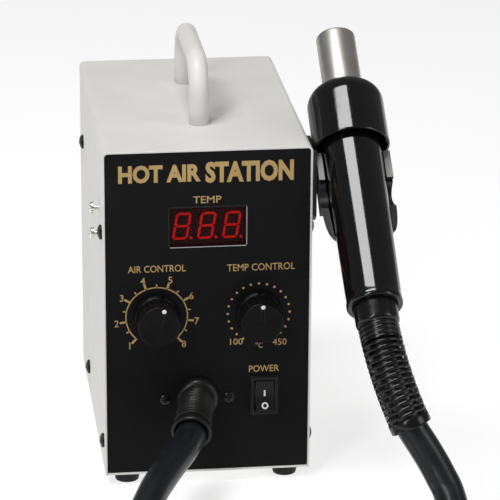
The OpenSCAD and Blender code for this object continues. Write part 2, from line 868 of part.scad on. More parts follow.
module main_board() {
    color("darkgreen") on_bench() difference() {
        translate([board_x, board_y, 24]) cube([board_t, 82, 94]);
        for (y = spacer_ys) {
            for (z = spacer_zs) translate([board_x - 1, y, z]) rotate([0, 90, 0])
                cylinder(d = m3_hole_d + 0.1, h = board_t + 2);
        }
    }
}

module board_parts() {
    cans = [[104, 40, 10, 18], [120, 40, 10, 18], [104, 58, 6.4, 12]]; // y, z, diameter, height
    blocks = [[[98, 72], [15, 28, 12]], [[132, 34], [12, 30, 16]], [[100, 92], [7, 24, 8]],
        [[134, 94], [3, 16, 10]]];                                    // [y, z], size
    x = board_x + board_t;
    color([0.15, 0.2, 0.35]) on_bench() {
        for (p = cans) translate([x, p[0], p[1]]) rotate([0, 90, 0]) cylinder(d = p[2], h = p[3]);
        for (b = blocks) translate([x, b[0][0], b[0][1]]) cube(b[1]);
    }
}

module heat_sink() {
    x = board_x + board_t;
    base = [22, 2.4, 30];
    fins = 5;
    fin = [1.4, 14, base[2]];
    fin_pitch = 4.8;
    color([0.75, 0.76, 0.78]) on_bench() translate([x, 134, 58]) {
        cube(base);
        for (i = [0:fins - 1]) translate([1 + i * fin_pitch, base[1], 0]) cube(fin);
        translate([5, -4.6, 8]) cube([10.4, 4.6, 16]);
    }
}

module transformer() {
    core = [30, 46, 40];
    winding = [35, 8.4, 21.4];
    tab = 8;
    color([0.35, 0.33, 0.3]) on_bench() translate([-52, 34, sheet_t]) {
        difference() {
            cube(core);
            for (y = [7.5, 29.5]) translate([-1, y, 9]) cube([core[0] + 2, 9, 22]);
        }
        for (y = [7.8, 29.8]) translate([(core[0] - winding[0]) / 2, y, 9.3]) cube(winding);
        for (y = [-tab, core[1]]) translate([0, y, 0]) cube([core[0], tab, 2]);
    }
}

module mains_inlet() {
    flange_w = 49;
    flange_h = 22;
    depth = 19;
    socket_d = 14.6;
    half = 12.2;
    color([0.04, 0.04, 0.04]) on_bench() translate([inlet_x, inlet_y, inlet_z])
        rotate([-90, 0, 0]) difference() {
            union() {
                linear_extrude(inlet_flange) centred_rect(flange_w, flange_h, 3);
                translate([-inlet_w / 2, -inlet_h / 2, -depth]) cube([inlet_w, inlet_h, depth + 0.1]);
            }
            translate([0, 0, -socket_d]) linear_extrude(25)
                polygon([[-half, 8.2], [half, 8.2], [half, -3.8], [8, -8.2], [-8, -8.2], [-half, -3.8]]);
            for (s = [-1, 1]) translate([s * inlet_screw_x, 0, -1]) cylinder(d = m3_free_d - 0.1, h = 8);
        }
}

module inlet_pins() {
    pin = [2, 4, 13.6];
    pin_x = 7;
    tab = [4.8, 0.8, 8];
    color("silver") on_bench() translate([inlet_x, inlet_y, inlet_z]) rotate([-90, 0, 0]) {
        for (x = [-pin_x, pin_x]) translate([x - pin[0] / 2, -0.2, -14.6]) cube(pin);
        translate([-pin[0] / 2, -4.4, -14.6]) cube([pin[0], pin[1], pin[2] + 1]);
        for (x = [-pin_x, 0, pin_x]) translate([x - tab[0] / 2, x == 0 ? -3 : 1, -27]) cube(tab);
    }
}

module inlet_screws() {
    color("silver") on_bench() {
        for (s = [-1, 1]) {
            translate([inlet_x + s * inlet_screw_x, inlet_y + inlet_flange, inlet_z])
                rotate([-90, 0, 0]) pan_screw(5.6, inlet_head, m3_d, 9);
        }
    }
}

// ---- Holder ----

module holder_plate() {
    plate = [32, 45.5];
    corner = [4.5, 148];
    head_room = 6.2;
    color([0.2, 0.19, 0.18]) on_bench() difference() {
        translate([body_w / 2, 0, 0]) rotate([90, 0, 90]) linear_extrude(holder_t) {
            difference() {
                translate(corner) round_rect(plate[0], plate[1], 2.5);
                translate(corner) rotate([0, 0, 45]) square([9, 9], center = true);
            }
        }
        for (p = holder_at) {
            translate([body_w / 2 - 1, p[0], p[1]]) rotate([0, 90, 0]) {
                cylinder(d = m3_hole_d + 0.1, h = 8);
                translate([0, 0, 2.2]) cylinder(d = head_room, h = 6);
            }
        }
        translate([body_w / 2 - 1, screw_side[0][0], screw_side[0][1]]) rotate([0, 90, 0])
            cylinder(d = 10, h = 8);
        // Room for the collar, which stands nearer to the case than the cradle does.
        translate([hand_x - collar_r - 1.1, hand_y, hand_z]) rotate([-hand_lean, 0, 0])
            translate([0, -60, -1]) cube([10, 68, 60]);
    }
}

module holder_screws() {
    color("silver") on_bench() {
        for (p = holder_at) {
            translate([body_w / 2 + 1.2, p[0], p[1]]) rotate([0, 90, 0]) pan_screw(6, 1.6, m3_d, 5.4);
            translate([body_w / 2 - sheet_t - nut_h, p[0], p[1]]) rotate([0, 90, 0]) nut();
        }
    }
}

// A U round the grip, open on the side that the handpiece leaves by. Two prongs reach
// furthest round it at the top, and a scoop is cut out under them.
module holder_cradle() {
    steps = 6;
    bowl_h = cradle_len - (cradle_top - bowl_top);
    // The wall turns inwards towards its lower end.
    outer = [for (i = [0:steps]) [cradle_end_r + (cradle_out_r - cradle_end_r) * cos(i * 90 / steps),
        bowl_top - bowl_h * sin(i * 90 / steps)]];
    block = [9, 14, cradle_top - bowl_top];
    color([0.06, 0.06, 0.06]) difference() {
        on_handpiece() difference() {
            union() {
                rotate_extrude() polygon(concat([[cradle_in_r, cradle_top], [cradle_out_r, cradle_top]],
                    outer, [[cradle_end_r - 1.5, cradle_top - cradle_len], [cradle_in_r, bowl_top - 2]]));
                difference() {
                    translate([-cradle_out_r, 0, bowl_top]) cube(block);
                    translate([0, 0, bowl_top - 1]) cylinder(r = cradle_in_r, h = block[2] + 2);
                }
            }
            translate([-30, -60, cradle_top - prong_len]) cube([60, 60, prong_len + 1]);
            translate([-30, -60, cradle_top - 60]) cube([60, 60 + prong_step, 60 - prong_len]);
            translate([-30, scoop_at[0], scoop_at[1]]) rotate([0, 90, 0]) cylinder(r = scoop_r, h = 60);
        }
        on_bench() translate([body_w / 2 + holder_t - 30, -40, 80]) cube([30, 120, 160]);
    }
}

// ---- Handpiece ----

module nozzle_barrel() {
    r = barrel_d / 2;
    wall = 0.8;
    low_r = r - 0.3;          // inside the collar the barrel is a little thinner
    lip = 0.8;                // the tip is rolled inwards
    color("silver") on_handpiece() rotate_extrude()
        polygon([[r - wall, 26], [low_r, 26], [low_r, barrel_shoulder], [r, barrel_shoulder],
            [r, barrel_tip - 0.5], [r - 0.4, barrel_tip], [r - wall - lip, barrel_tip],
            [r - wall - lip, barrel_tip - 1], [r - wall, barrel_tip - 1.4]]);
}

module mica_sleeve() {
    low = 27;
    color("khaki") on_handpiece() translate([0, 0, low]) tube(10.4, 9.8, barrel_tip - low - 14);
}

module heater_core() {
    low = 24;
    long = barrel_tip - low - 15;
    color("linen") on_handpiece() translate([0, 0, low]) difference() {
        cylinder(r = 7.4, h = long);
        for (a = [0:60:300]) rotate([0, 0, a]) translate([4.4, 0, -1]) cylinder(r = 1.3, h = long + 2);
        translate([0, 0, -1]) cylinder(r = 1.4, h = long + 2);
    }
}

module heater_coil() {
    turns = 11;
    pitch = 2.9;
    wire_d = 1.5;
    color([0.55, 0.5, 0.45]) on_handpiece() for (i = [0:turns - 1]) {
        translate([0, 0, 29 + i * pitch]) rotate_extrude() translate([8.3, 0]) circle(d = wire_d);
    }
}

module barrel_flange() {
    flange_z = 24;
    flange_t = 1.4;
    screw_r = 15.5;
    color("silver") on_handpiece() {
        translate([0, 0, flange_z]) difference() {
            cylinder(r = 18.6, h = flange_t);
            translate([0, 0, -1]) cylinder(r = 7.6, h = 4);
            for (a = [30:120:270]) rotate([0, 0, a]) translate([screw_r, 0, -1])
                cylinder(d = m3_hole_d, h = 4);
        }
        for (a = [30:120:270]) rotate([0, 0, a]) translate([screw_r, 0, flange_z + flange_t])
            pan_screw(5.4, 1.8, m3_d, 6);
    }
}

module collar() {
    r = collar_r;
    wall = 2.2;
    straight = 28.4;
    round_r = 12;
    neck_h = 41;
    bore_r = barrel_d / 2 + 0.05;
    color([0.03, 0.03, 0.03]) on_handpiece() rotate_extrude() difference() {
        union() {
            square([r, straight]);
            translate([0, straight]) square([r - round_r, round_r - 0.2]);
            translate([r - round_r, straight]) intersection() {
                circle(r = round_r);
                square([round_r, round_r]);
            }
            translate([0, straight]) square([barrel_d / 2 + 1.2, neck_h - straight]);
        }
        translate([-1, -1]) square([r - wall + 1, 5]);
        translate([-1, 6]) square([r - wall + 1, 22]);
        translate([-1, -1]) square([grip_top_d / 2 + 1.02, 9]);
        translate([-1, 20]) square([bore_r + 1, 30]);
    }
}

module grip() {
    r1 = grip_top_d / 2;
    r2 = grip_end_d / 2;
    wall = 2.6;
    edge = 0.8;
    recess_r = r2 - 2;
    recess_h = 4;
    hose_bore_r = hose_r + 0.3;
    floor_h = 9;
    color([0.03, 0.03, 0.03]) on_handpiece() rotate_extrude() difference() {
        polygon([[0, -grip_len], [r2 - edge, -grip_len], [r2, -grip_len + edge], [r1, -1],
            [r1, 10], [0, 10]]);
        polygon([[-1, -grip_len + floor_h], [r2 - wall, -grip_len + floor_h], [r1 - wall, -1],
            [r1 - wall, 11], [-1, 11]]);
        translate([-1, -grip_len - 1]) square([recess_r + 1, recess_h + 1]);
        translate([-1, -grip_len - 1]) square([hose_bore_r + 1, floor_h + 11]);
    }
}

// Turns the hose guard's arc into the handpiece's frame.
module along_guard(r_out, r_in, from, to) {
    rotate([0, 0, guard_azimuth]) translate([guard_bend_r, 0, -grip_len]) rotate([90, 0, 0])
        rotate([0, 0, 180 + from]) rotate_extrude(angle = to - from)
            translate([guard_bend_r, 0]) difference() {
                circle(r = r_out);
                circle(r = r_in);
            }
}

module hose_guard() {
    band = 0.1;               // share of the bend that the end band takes
    color([0.1, 0.1, 0.1]) on_handpiece() {
        translate([0, 0, -grip_len - 0.4]) tube(12.6, guard_in_r - 0.2, 4.4);
        along_guard(guard_out_r, guard_in_r, 0, guard_turn * (1 - band));
        along_guard(guard_out_r + 0.3, guard_in_r - 0.1, guard_turn * (1 - 1.2 * band), guard_turn);
    }
}

// ---- Hose ----

// Sweeps a round tube along the smooth curve through a route's points.
module sweep(route, r, steps, sides) {
    n = (len(route) - 1) * steps;
    path = [for (k = [0:n])
        let (i = min(floor(k / steps), len(route) - 2)) smooth(route, i, k / steps - i)];
    rings = [for (k = [0:n]) let (
            t = along(path, k),
            e1 = unit(cross(t, [0.05, 0.02, 1])),
            e2 = cross(t, e1))
        for (j = [0:sides - 1]) path[k] + r * (cos(j * 360 / sides) * e1 + sin(j * 360 / sides) * e2)];
    skin = [for (k = [0:n - 1]) for (j = [0:sides - 1]) let (m = (j + 1) % sides)
        [k * sides + j, k * sides + m, (k + 1) * sides + m, (k + 1) * sides + j]];
    caps = [[for (j = [sides - 1:-1:0]) j], [for (j = [0:sides - 1]) n * sides + j]];
    polyhedron(points = rings, faces = concat(skin, caps));
}

module hose_run() {
    color([0.1, 0.1, 0.1]) translate([-mid_x, -mid_y, 0]) {
        sweep(hose_out, hose_r, 2, 10);
        sweep(hose_back, hose_r, 2, 10);
    }
}

module hose_coil() {
    wide = 4 * hose_r;        // two turns side by side
    color([0.1, 0.1, 0.1]) translate([coil_at[0] - mid_x, coil_at[1] - mid_y, 0])
        rotate_extrude() translate([coil_in_r - hose_r, 0]) round_rect(wide, hose_d, hose_r - 1);
}

case_cover();
chassis_tray();
front_panel();
rear_panel();
cover_brackets();
cover_screws();
hanger_screws();
carry_handle();
handle_screws();
feet();
feet_screws();
display_window();
display_frame();
led_block();
led_digits();
display_board();
air_pot();
temp_pot();
pot_nuts();
air_knob();
air_shaft();
temp_knob();
temp_shaft();
switch_housing();
switch_rocker();
switch_terminals();
gland_flange();
gland_boot();
gland_screws();
gland_plate();
air_spigot();
air_duct();
blower_scroll();
blower_lid();
blower_motor();
blower_stand();
blower_impeller();
motor_shaft();
board_bracket();
main_board();
board_parts();
board_spacers();
heat_sink();
transformer();
mains_inlet();
inlet_pins();
inlet_screws();
holder_plate();
holder_cradle();
holder_screws();
nozzle_barrel();
mica_sleeve();
heater_core();
heater_coil();
barrel_flange();
collar();
grip();
hose_guard();
hose_run();
hose_coil();
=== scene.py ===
"""The visual model of the hot air station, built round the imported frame.

Pieces are made in millimetres in the case's frame: x = 0 is the case's middle, y = 0 its
front edge and z = 0 its bottom edge. CASE and HAND take them into the shared frame.
"""
import json
import math

import bmesh
import bpy
from mathutils import Matrix, Vector

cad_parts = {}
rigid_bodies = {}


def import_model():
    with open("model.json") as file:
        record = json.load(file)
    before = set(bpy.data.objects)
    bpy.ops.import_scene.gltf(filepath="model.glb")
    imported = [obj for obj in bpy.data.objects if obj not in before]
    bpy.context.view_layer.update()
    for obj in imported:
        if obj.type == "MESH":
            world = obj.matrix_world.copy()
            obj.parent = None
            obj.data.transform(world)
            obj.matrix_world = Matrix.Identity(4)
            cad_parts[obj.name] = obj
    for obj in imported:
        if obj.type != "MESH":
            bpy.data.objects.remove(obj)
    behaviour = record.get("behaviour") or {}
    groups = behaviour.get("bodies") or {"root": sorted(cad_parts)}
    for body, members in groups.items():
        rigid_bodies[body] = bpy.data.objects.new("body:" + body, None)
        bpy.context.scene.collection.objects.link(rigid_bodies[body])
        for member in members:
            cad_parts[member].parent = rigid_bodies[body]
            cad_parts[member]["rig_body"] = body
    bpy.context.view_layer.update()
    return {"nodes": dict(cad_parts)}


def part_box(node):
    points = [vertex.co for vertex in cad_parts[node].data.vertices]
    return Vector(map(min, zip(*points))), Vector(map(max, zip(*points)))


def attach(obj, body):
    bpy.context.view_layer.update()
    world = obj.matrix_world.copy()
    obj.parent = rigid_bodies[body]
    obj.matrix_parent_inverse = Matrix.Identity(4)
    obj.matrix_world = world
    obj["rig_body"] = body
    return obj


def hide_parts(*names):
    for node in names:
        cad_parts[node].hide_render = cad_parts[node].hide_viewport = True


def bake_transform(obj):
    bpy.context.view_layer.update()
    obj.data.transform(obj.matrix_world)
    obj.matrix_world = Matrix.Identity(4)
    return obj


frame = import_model()

MM = 0.001
cover_low, cover_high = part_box("case_cover")
CASE = Matrix.Translation(((cover_low.x + cover_high.x) / 2, cover_low.y, cover_low.z)) @ Matrix.Scale(MM, 4)
BENCH = -cover_low.z / MM  # the bench's height in the case's frame
CASE_W = (cover_high.x - cover_low.x) / MM
CASE_D = (cover_high.y - cover_low.y) / MM
CASE_H = (cover_high.z - cover_low.z) / MM

# The handpiece's own frame: z runs up its axis, and z = 0 is the collar's lower rim.
LEAN = math.radians(50.6)
TURN = math.radians(1.3)
HAND_AT = Vector((83.8, 12, 192))
HAND = CASE @ Matrix.Translation(HAND_AT) @ Matrix.Rotation(TURN, 4, "Z") @ Matrix.Rotation(-LEAN, 4, "X")

PANEL_Y = 0.8  # the panel's front face
DIAL_X = 29.5  # either dial's distance from the case's middle
DIAL_Z = 98.0
AIR_REST = math.radians(16.5)
TEMP_REST = math.radians(2.5)
OUTLET_X = -6.3
OUTLET_Z = 47.5
HOSE_R = 8.7
GRIP_LEN = 105.0
GUARD_BEND = 107.5  # the radius of the guard's bend
GUARD_TURN = math.radians(38)
GUARD_AZIMUTH = math.radians(51.8)  # the way the guard bends, round the handpiece's axis


def front(x, z, y=PANEL_Y):
    """Stands a piece on the front panel: its own z points at the viewer."""
    return CASE @ Matrix.Translation((x, y, z)) @ Matrix.Rotation(math.pi / 2, 4, "X")


# ---- Camera ----

CAMERA_AT = Vector((-174.99, -1608.65, 717.91))  # in the case's frame
CAMERA_AZIMUTH = math.radians(7.0562)
CAMERA_DIP = math.radians(19.7194)
CAMERA_ROLL = math.radians(0.3391)
CAMERA_LENS = 216.865
SENSOR_WIDTH = 36
VIEW_DEPTH = 20


def add_camera():
    flat = math.cos(CAMERA_DIP)
    look = Vector((math.sin(CAMERA_AZIMUTH) * flat, math.cos(CAMERA_AZIMUTH) * flat, -math.sin(CAMERA_DIP)))
    side = look.cross(Vector((0, 0, 1))).normalized()
    lift = side.cross(look)
    right = side * math.cos(CAMERA_ROLL) + lift * math.sin(CAMERA_ROLL)
    up = lift * math.cos(CAMERA_ROLL) - side * math.sin(CAMERA_ROLL)
    data = bpy.data.cameras.new("camera")
    data.sensor_width = SENSOR_WIDTH
    data.lens = CAMERA_LENS
    data.clip_end = VIEW_DEPTH
    cam = bpy.data.objects.new("camera", data)
    turn = Matrix((right, up, -look)).transposed().to_4x4()
    cam.matrix_world = Matrix.Translation(CASE @ CAMERA_AT) @ turn
    bpy.context.scene.collection.objects.link(cam)
    bpy.context.scene.camera = cam


add_camera()

# ---- Materials ----

NOISE_LOW, NOISE_HIGH = 0.3, 0.7  # the range that most of a noise's values lie in


class Nodes:
    """Short calls for building one material's node tree."""

    def __init__(self, name):
        self.mat = bpy.data.materials.new(name)
        self.mat.use_nodes = True
        self.tree = self.mat.node_tree
        self.shader = self.tree.nodes["Principled BSDF"]
        self.where = self.add("ShaderNodeTexCoord").outputs["Object"]

    def add(self, kind, **settings):
        node = self.tree.nodes.new(kind)
        for key, value in settings.items():
            setattr(node, key, value)
        return node

    def join(self, a, b):
        self.tree.links.new(a, b)

    def mapped(self, scale, turn):
        node = self.add("ShaderNodeMapping")
        node.inputs["Scale"].default_value = scale
        node.inputs["Rotation"].default_value = turn
        self.join(self.where, node.inputs["Vector"])
        return node.outputs["Vector"]

    def noise(self, size_mm, detail=3, vector=None, rough=0.55):
        """Noise whose blotches are about size_mm across."""
        node = self.add("ShaderNodeTexNoise")
        node.inputs["Scale"].default_value = 1 / (size_mm * MM)
        node.inputs["Detail"].default_value = detail
        node.inputs["Roughness"].default_value = rough
        self.join(vector or self.where, node.inputs["Vector"])
        return node.outputs["Fac"]

    def spread(self, value, low, high):
        """Stretches a noise to run from low to high."""
        node = self.add("ShaderNodeMapRange")
        ends = {"From Min": NOISE_LOW, "From Max": NOISE_HIGH, "To Min": low, "To Max": high}
        for key, number in ends.items():
            node.inputs[key].default_value = number
        self.join(value, node.inputs["Value"])
        return node.outputs["Result"]

    def blend(self, factor, a, b):
        node = self.add("ShaderNodeMix", data_type="RGBA")
        node.inputs["A"].default_value = (*a, 1)
        node.inputs["B"].default_value = (*b, 1)
        self.join(factor, node.inputs["Factor"])
        return node.outputs["Result"]

    def bump(self, height, depth_mm):
        node = self.add("ShaderNodeBump")
        node.inputs["Strength"].default_value = 1.0
        node.inputs["Distance"].default_value = depth_mm * MM
        self.join(height, node.inputs["Height"])
        return node.outputs["Normal"]

    def set(self, **values):
        """Sets or links the shader's sockets, named with _ for a space."""
        for key, value in values.items():
            socket = self.shader.inputs[key.replace("_", " ")]
            if hasattr(value, "is_output"):
                self.join(value, socket)
            else:
                socket.default_value = (*value, 1) if isinstance(value, tuple) and len(value) == 3 else value


def coated(name, colour, dark, rough, grain_mm=0.5, depth=0.012, metallic=0.0, smear=0.06, **more):
    """A painted or moulded surface: cloudy colour, uneven gloss and a fine skin."""
    n = Nodes(name)
    cloud = n.noise(22, 4)
    fine = n.noise(grain_mm, 2)
    n.set(Base_Color=n.blend(n.spread(cloud, 0, 1), dark, colour), Metallic=metallic,
          Roughness=n.spread(n.noise(7, 4, rough=0.65), rough - smear, rough + smear),
          Normal=n.bump(fine, depth), **more)
    return n.mat


def metal(name, colour, dark, rough, streak, turn=(0, 0, 0), depth=0.004):
    """Bare metal with fine drawn or turned marks; streak stretches the marks."""
    n = Nodes(name)
    marks = n.noise(0.35, 5, n.mapped(streak, turn), 0.7)
    cloud = n.noise(9, 4)
    n.set(Base_Color=n.blend(n.spread(cloud, 0, 1), dark, colour), Metallic=1.0,
          Roughness=n.spread(marks, rough - 0.1, rough + 0.12),
          Normal=n.bump(marks, depth))
    return n.mat


CREAM = coated("cream_powder_coat", (0.66, 0.655, 0.635), (0.63, 0.622, 0.60), 0.48, 0.55, 0.014)
PANEL = coated("satin_black_panel", (0.0052, 0.0052, 0.0056), (0.004, 0.004, 0.0044), 0.42, 0.35, 0.004,
               Specular_IOR_Level=0.09)
GLOSS = coated("gloss_black_moulding", (0.0035, 0.0037, 0.0043), (0.0026, 0.0026, 0.0032), 0.1, 1.4, 0.003,
               smear=0.035, Specular_IOR_Level=0.45)
KNOB = coated("knob_black", (0.0045, 0.0045, 0.0049), (0.0032, 0.0032, 0.0036), 0.24, 0.8, 0.003, smear=0.05,
              Specular_IOR_Level=0.12)
SATIN = coated("satin_black_moulding", (0.006, 0.006, 0.0063), (0.004, 0.004, 0.0043), 0.36, 0.3, 0.008,
               Specular_IOR_Level=0.3)
GUARD = coated("guard_black", (0.004, 0.004, 0.0042), (0.0026, 0.0026, 0.0028), 0.2, 0.3, 0.004,
               Specular_IOR_Level=0.36)
BOOT = coated("boot_rubber", (0.009, 0.0087, 0.008), (0.005, 0.005, 0.0047), 0.36, 0.5, 0.03,
              Specular_IOR_Level=0.35)
RUBBER = coated("foot_rubber", (0.008, 0.008, 0.008), (0.005, 0.005, 0.005), 0.6, 0.3, 0.02,
                Specular_IOR_Level=0.25)
HOSE = coated("hose_rubber", (0.0085, 0.0098, 0.0115), (0.0055, 0.0064, 0.0078), 0.3, 1.2, 0.012, smear=0.07,
              Specular_IOR_Level=0.35)
BLACK_STEEL = coated("black_steel", (0.009, 0.009, 0.009), (0.005, 0.005, 0.005), 0.34, 0.5, 0.01,
                     Specular_IOR_Level=0.4)
# A lighter steel that paints the light falling on the prongs' upward front faces.
PRONG_LIGHT_STEEL = coated("prong_painted_light", (0.26, 0.256, 0.25), (0.16, 0.158, 0.153), 0.36, 0.6, 0.012, metallic=0.25)
BLACK_SCREW = coated("black_screw", (0.02, 0.02, 0.02), (0.012, 0.012, 0.012), 0.24, 0.5, 0.006, metallic=0.7)
WHITE_MARK = coated("white_mark", (0.78, 0.78, 0.76), (0.7, 0.7, 0.68), 0.45, 0.4, 0.004)
WHITE_PLASTIC = coated("white_plastic", (0.72, 0.72, 0.69), (0.64, 0.64, 0.6), 0.45, 0.6, 0.01)
GOLD = coated("gold_print", (0.47, 0.31, 0.115), (0.38, 0.25, 0.09), 0.42, 0.25, 0.008, metallic=0.2)
PART_BLUE = coated("component_body", (0.03, 0.05, 0.16), (0.02, 0.03, 0.09), 0.35, 0.6, 0.008)
IRON = coated("varnished_iron", (0.09, 0.07, 0.05), (0.05, 0.04, 0.03), 0.4, 0.5, 0.02, metallic=0.4)
MICA = coated("mica_sheet", (0.5, 0.44, 0.26), (0.38, 0.33, 0.18), 0.35, 1.5, 0.02)
CERAMIC = coated("fired_ceramic", (0.74, 0.69, 0.6), (0.66, 0.6, 0.5), 0.7, 0.25, 0.02)
BOARD = coated("green_board", (0.012, 0.11, 0.035), (0.008, 0.075, 0.022), 0.3, 2.2, 0.03)
STAINLESS = metal("stainless_barrel", (0.56, 0.535, 0.505), (0.47, 0.445, 0.415), 0.40, (1, 1, 0.03),
                  (LEAN, 0, 0))
NICKEL = metal("nickel_plate", (0.83, 0.81, 0.77), (0.72, 0.70, 0.66), 0.2, (1, 1, 1))
ZINC = metal("zinc_plate", (0.62, 0.63, 0.64), (0.5, 0.52, 0.54), 0.34, (1, 1, 1), depth=0.008)
ALUMINIUM = metal("aluminium", (0.72, 0.73, 0.74), (0.62, 0.63, 0.65), 0.32, (1, 0.05, 1))
BRASS = metal("brass", (0.62, 0.43, 0.16), (0.5, 0.33, 0.11), 0.27, (1, 1, 0.1))
WIRE = metal("heater_wire", (0.3, 0.25, 0.2), (0.2, 0.17, 0.14), 0.5, (1, 1, 1))
# A bright metal for the strip that paints the highlight on the window's lower and right edges.
EDGE_GLINT_METAL = metal("window_edge", (0.40, 0.40, 0.41), (0.33, 0.33, 0.34), 0.3, (0.1, 1, 0.1))


def lit_segments():
    n = Nodes("lit_segments")
    glow = n.spread(n.noise(2.5, 2), 0.85, 1.0)
    n.set(Base_Color=(0.42, 0.004, 0.003), Roughness=0.4,
          Emission_Color=n.blend(glow, (0.3, 0.0, 0.0), (0.78, 0.006, 0.006)), Emission_Strength=1.15)
    return n.mat


def red_filter():
    n = Nodes("red_filter")
    cloud = n.noise(14, 3)
    n.set(Base_Color=n.blend(n.spread(cloud, 0, 1), (0.02, 0.0008, 0.0008), (0.026, 0.0012, 0.0012)),
          Roughness=n.spread(n.noise(5, 3), 0.2, 0.3), Alpha=0.42, Normal=n.bump(n.noise(6, 2), 0.004),
          Specular_IOR_Level=0.06)
    return n.mat


def pale_floor():
    n = Nodes("pale_floor")
    cloud = n.noise(400, 2)
    n.set(Base_Color=n.blend(n.spread(cloud, 0, 1), (0.42, 0.42, 0.42), (0.44, 0.44, 0.44)), Roughness=0.9,
          Specular_IOR_Level=0.1, Emission_Color=(1.0, 1.0, 1.0), Emission_Strength=0.66)
    return n.mat


SEGMENTS = lit_segments()
FILTER = red_filter()

# ---- Mesh tools ----

BROKEN_EDGE = math.radians(32)  # edges sharper than this are broken where a piece asks for it
ON_AXIS = 1e-6  # a radius below this is a point on the axis


def piece(name, bm, place, body, material, instead=(), bevel=0.0, sharp=38, steps=2):
    """Turns a bmesh in millimetres into an object that rides on a body.

    instead names the CAD nodes that it stands for, bevel is in millimetres and sharp in degrees.
    """
    mesh = bpy.data.meshes.new(name)
    bm.transform(place)
    bmesh.ops.recalc_face_normals(bm, faces=bm.faces)
    bm.to_mesh(mesh)
    bm.free()
    mesh.materials.append(material)
    mesh.polygons.foreach_set("use_smooth", [True] * len(mesh.polygons))
    mesh.set_sharp_from_angle(angle=math.radians(sharp))
    ob = bpy.data.objects.new(name, mesh)
    bpy.context.scene.collection.objects.link(ob)
    if bevel:
        mod = ob.modifiers.new("edges", "BEVEL")
        mod.width = bevel * MM
        mod.segments = steps
        mod.limit_method = "ANGLE"
        mod.angle_limit = BROKEN_EDGE
        mod.harden_normals = True
    if body:
        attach(ob, body)
    if instead:
        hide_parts(*instead)
    return ob


def turned(profile, sides=96, closed=False, shape=None):
    """A lathe shape about z from (radius, z) points; shape may move each point."""
    bm = bmesh.new()
    rings = []
    for r, z in profile:
        count = sides if r > ON_AXIS else 1
        ring = []
        for i in range(count):
            a = 2 * math.pi * i / sides
            q, h = shape(r, z, a) if shape else (r, z)
            ring.append(bm.verts.new((q * math.cos(a), q * math.sin(a), h)))
        rings.append(ring)
    pairs = list(zip(rings, rings[1:])) + ([(rings[-1], rings[0])] if closed else [])
    for low, high in pairs:
        for i in range(sides):
            j = (i + 1) % sides
            corners = (low[i % len(low)], low[j % len(low)], high[j % len(high)], high[i % len(high)])
            face = list(dict.fromkeys(corners))
            if len(face) > 2:
                bm.faces.new(face)
    return bm


def arc(cx, cy, r, start, stop, steps):
    """Points on an arc about (cx, cy), from start to stop degrees."""
    angles = [math.radians(start + (stop - start) * i / steps) for i in range(steps + 1)]
    return [(cx + r * math.cos(a), cy + r * math.sin(a)) for a in angles]


def circle(r, sides, cx=0.0, cy=0.0):
    """An outline of sides points about (cx, cy)."""
    angles = [2 * math.pi * i / sides for i in range(sides)]
    return [(cx + r * math.cos(a), cy + r * math.sin(a)) for a in angles]


def prism(outline, low, high):
    """A solid with the same outline from z = low to z = high."""
    bm = bmesh.new()
    bottom = [bm.verts.new((x, y, low)) for x, y in outline]
    top = [bm.verts.new((x, y, high)) for x, y in outline]
    bm.faces.new(bottom[::-1])
    bm.faces.new(top)
    for i in range(len(outline)):
        j = (i + 1) % len(outline)
        bm.faces.new((bottom[i], bottom[j], top[j], top[i]))
    return bm


def ring_prism(outer, inner, low, high):
    """A frame between two outlines with the same number of points."""
    bm = bmesh.new()
    loops = [[bm.verts.new((x, y, z)) for x, y in line] for line, z in
             ((outer, low), (outer, high), (inner, high), (inner, low))]
    for a, b in zip(loops, loops[1:] + loops[:1]):
        for i in range(len(a)):
            j = (i + 1) % len(a)
            bm.faces.new((a[i], a[j], b[j], b[i]))
    return bm


def rounded(w, h, r, steps=6, x=0.0, y=0.0):
    """A rounded rectangle's outline about (x, y)."""
    points = []
    for cx, cy, start in ((w / 2 - r, h / 2 - r, 0), (r - w / 2, h / 2 - r, 90),
                          (r - w / 2, r - h / 2, 180), (w / 2 - r, r - h / 2, 270)):
        points += [(x + px, y + py) for px, py in arc(cx, cy, r, start, start + 90, steps)]
    return points


def join(bm, other, place=None):
    """Adds other's mesh to bm, moved by place, and frees other."""
    mesh = bpy.data.meshes.new("part")
    if place is not None:
        other.transform(place)
    other.to_mesh(mesh)
    other.free()
    bm.from_mesh(mesh)
    bpy.data.meshes.remove(mesh)


def smooth_route(points, steps):
    """A smooth curve through all of points, with steps points from each to the next."""
    route = []
    last = len(points) - 1
    for i in range(last):
        a, b, c, d = (Vector(points[max(0, min(last, k))]) for k in (i - 1, i, i + 1, i + 2))
        for s in range(steps):
            u = s / steps
            route.append(0.5 * (2 * b + (c - a) * u + (2 * a - 5 * b + 4 * c - d) * u * u
                                + (3 * b - a - 3 * c + d) * u ** 3))
    return route + [Vector(points[-1])]


def swept(route, radii, sides):
    """A round bar along a route, with closed ends and no twist."""
    bm = bmesh.new()
    last = len(route) - 1
    normal = None
    rings = []
    for i, at in enumerate(route):
        along = (route[min(i + 1, last)] - route[max(i - 1, 0)]).normalized()
        if normal is None:
            normal = along.orthogonal().normalized()
        normal = (normal - along * normal.dot(along)).normalized()
        other = along.cross(normal)
        rings.append([bm.verts.new(at + (normal * math.cos(a) + other * math.sin(a)) * radii[i])
                      for a in (2 * math.pi * k / sides for k in range(sides))])
    for low, high in zip(rings, rings[1:]):
        for i in range(sides):
            j = (i + 1) % sides
            bm.faces.new((low[i], low[j], high[j], high[i]))
    bm.faces.new(rings[0][::-1])
    bm.faces.new(rings[-1])
    return bm


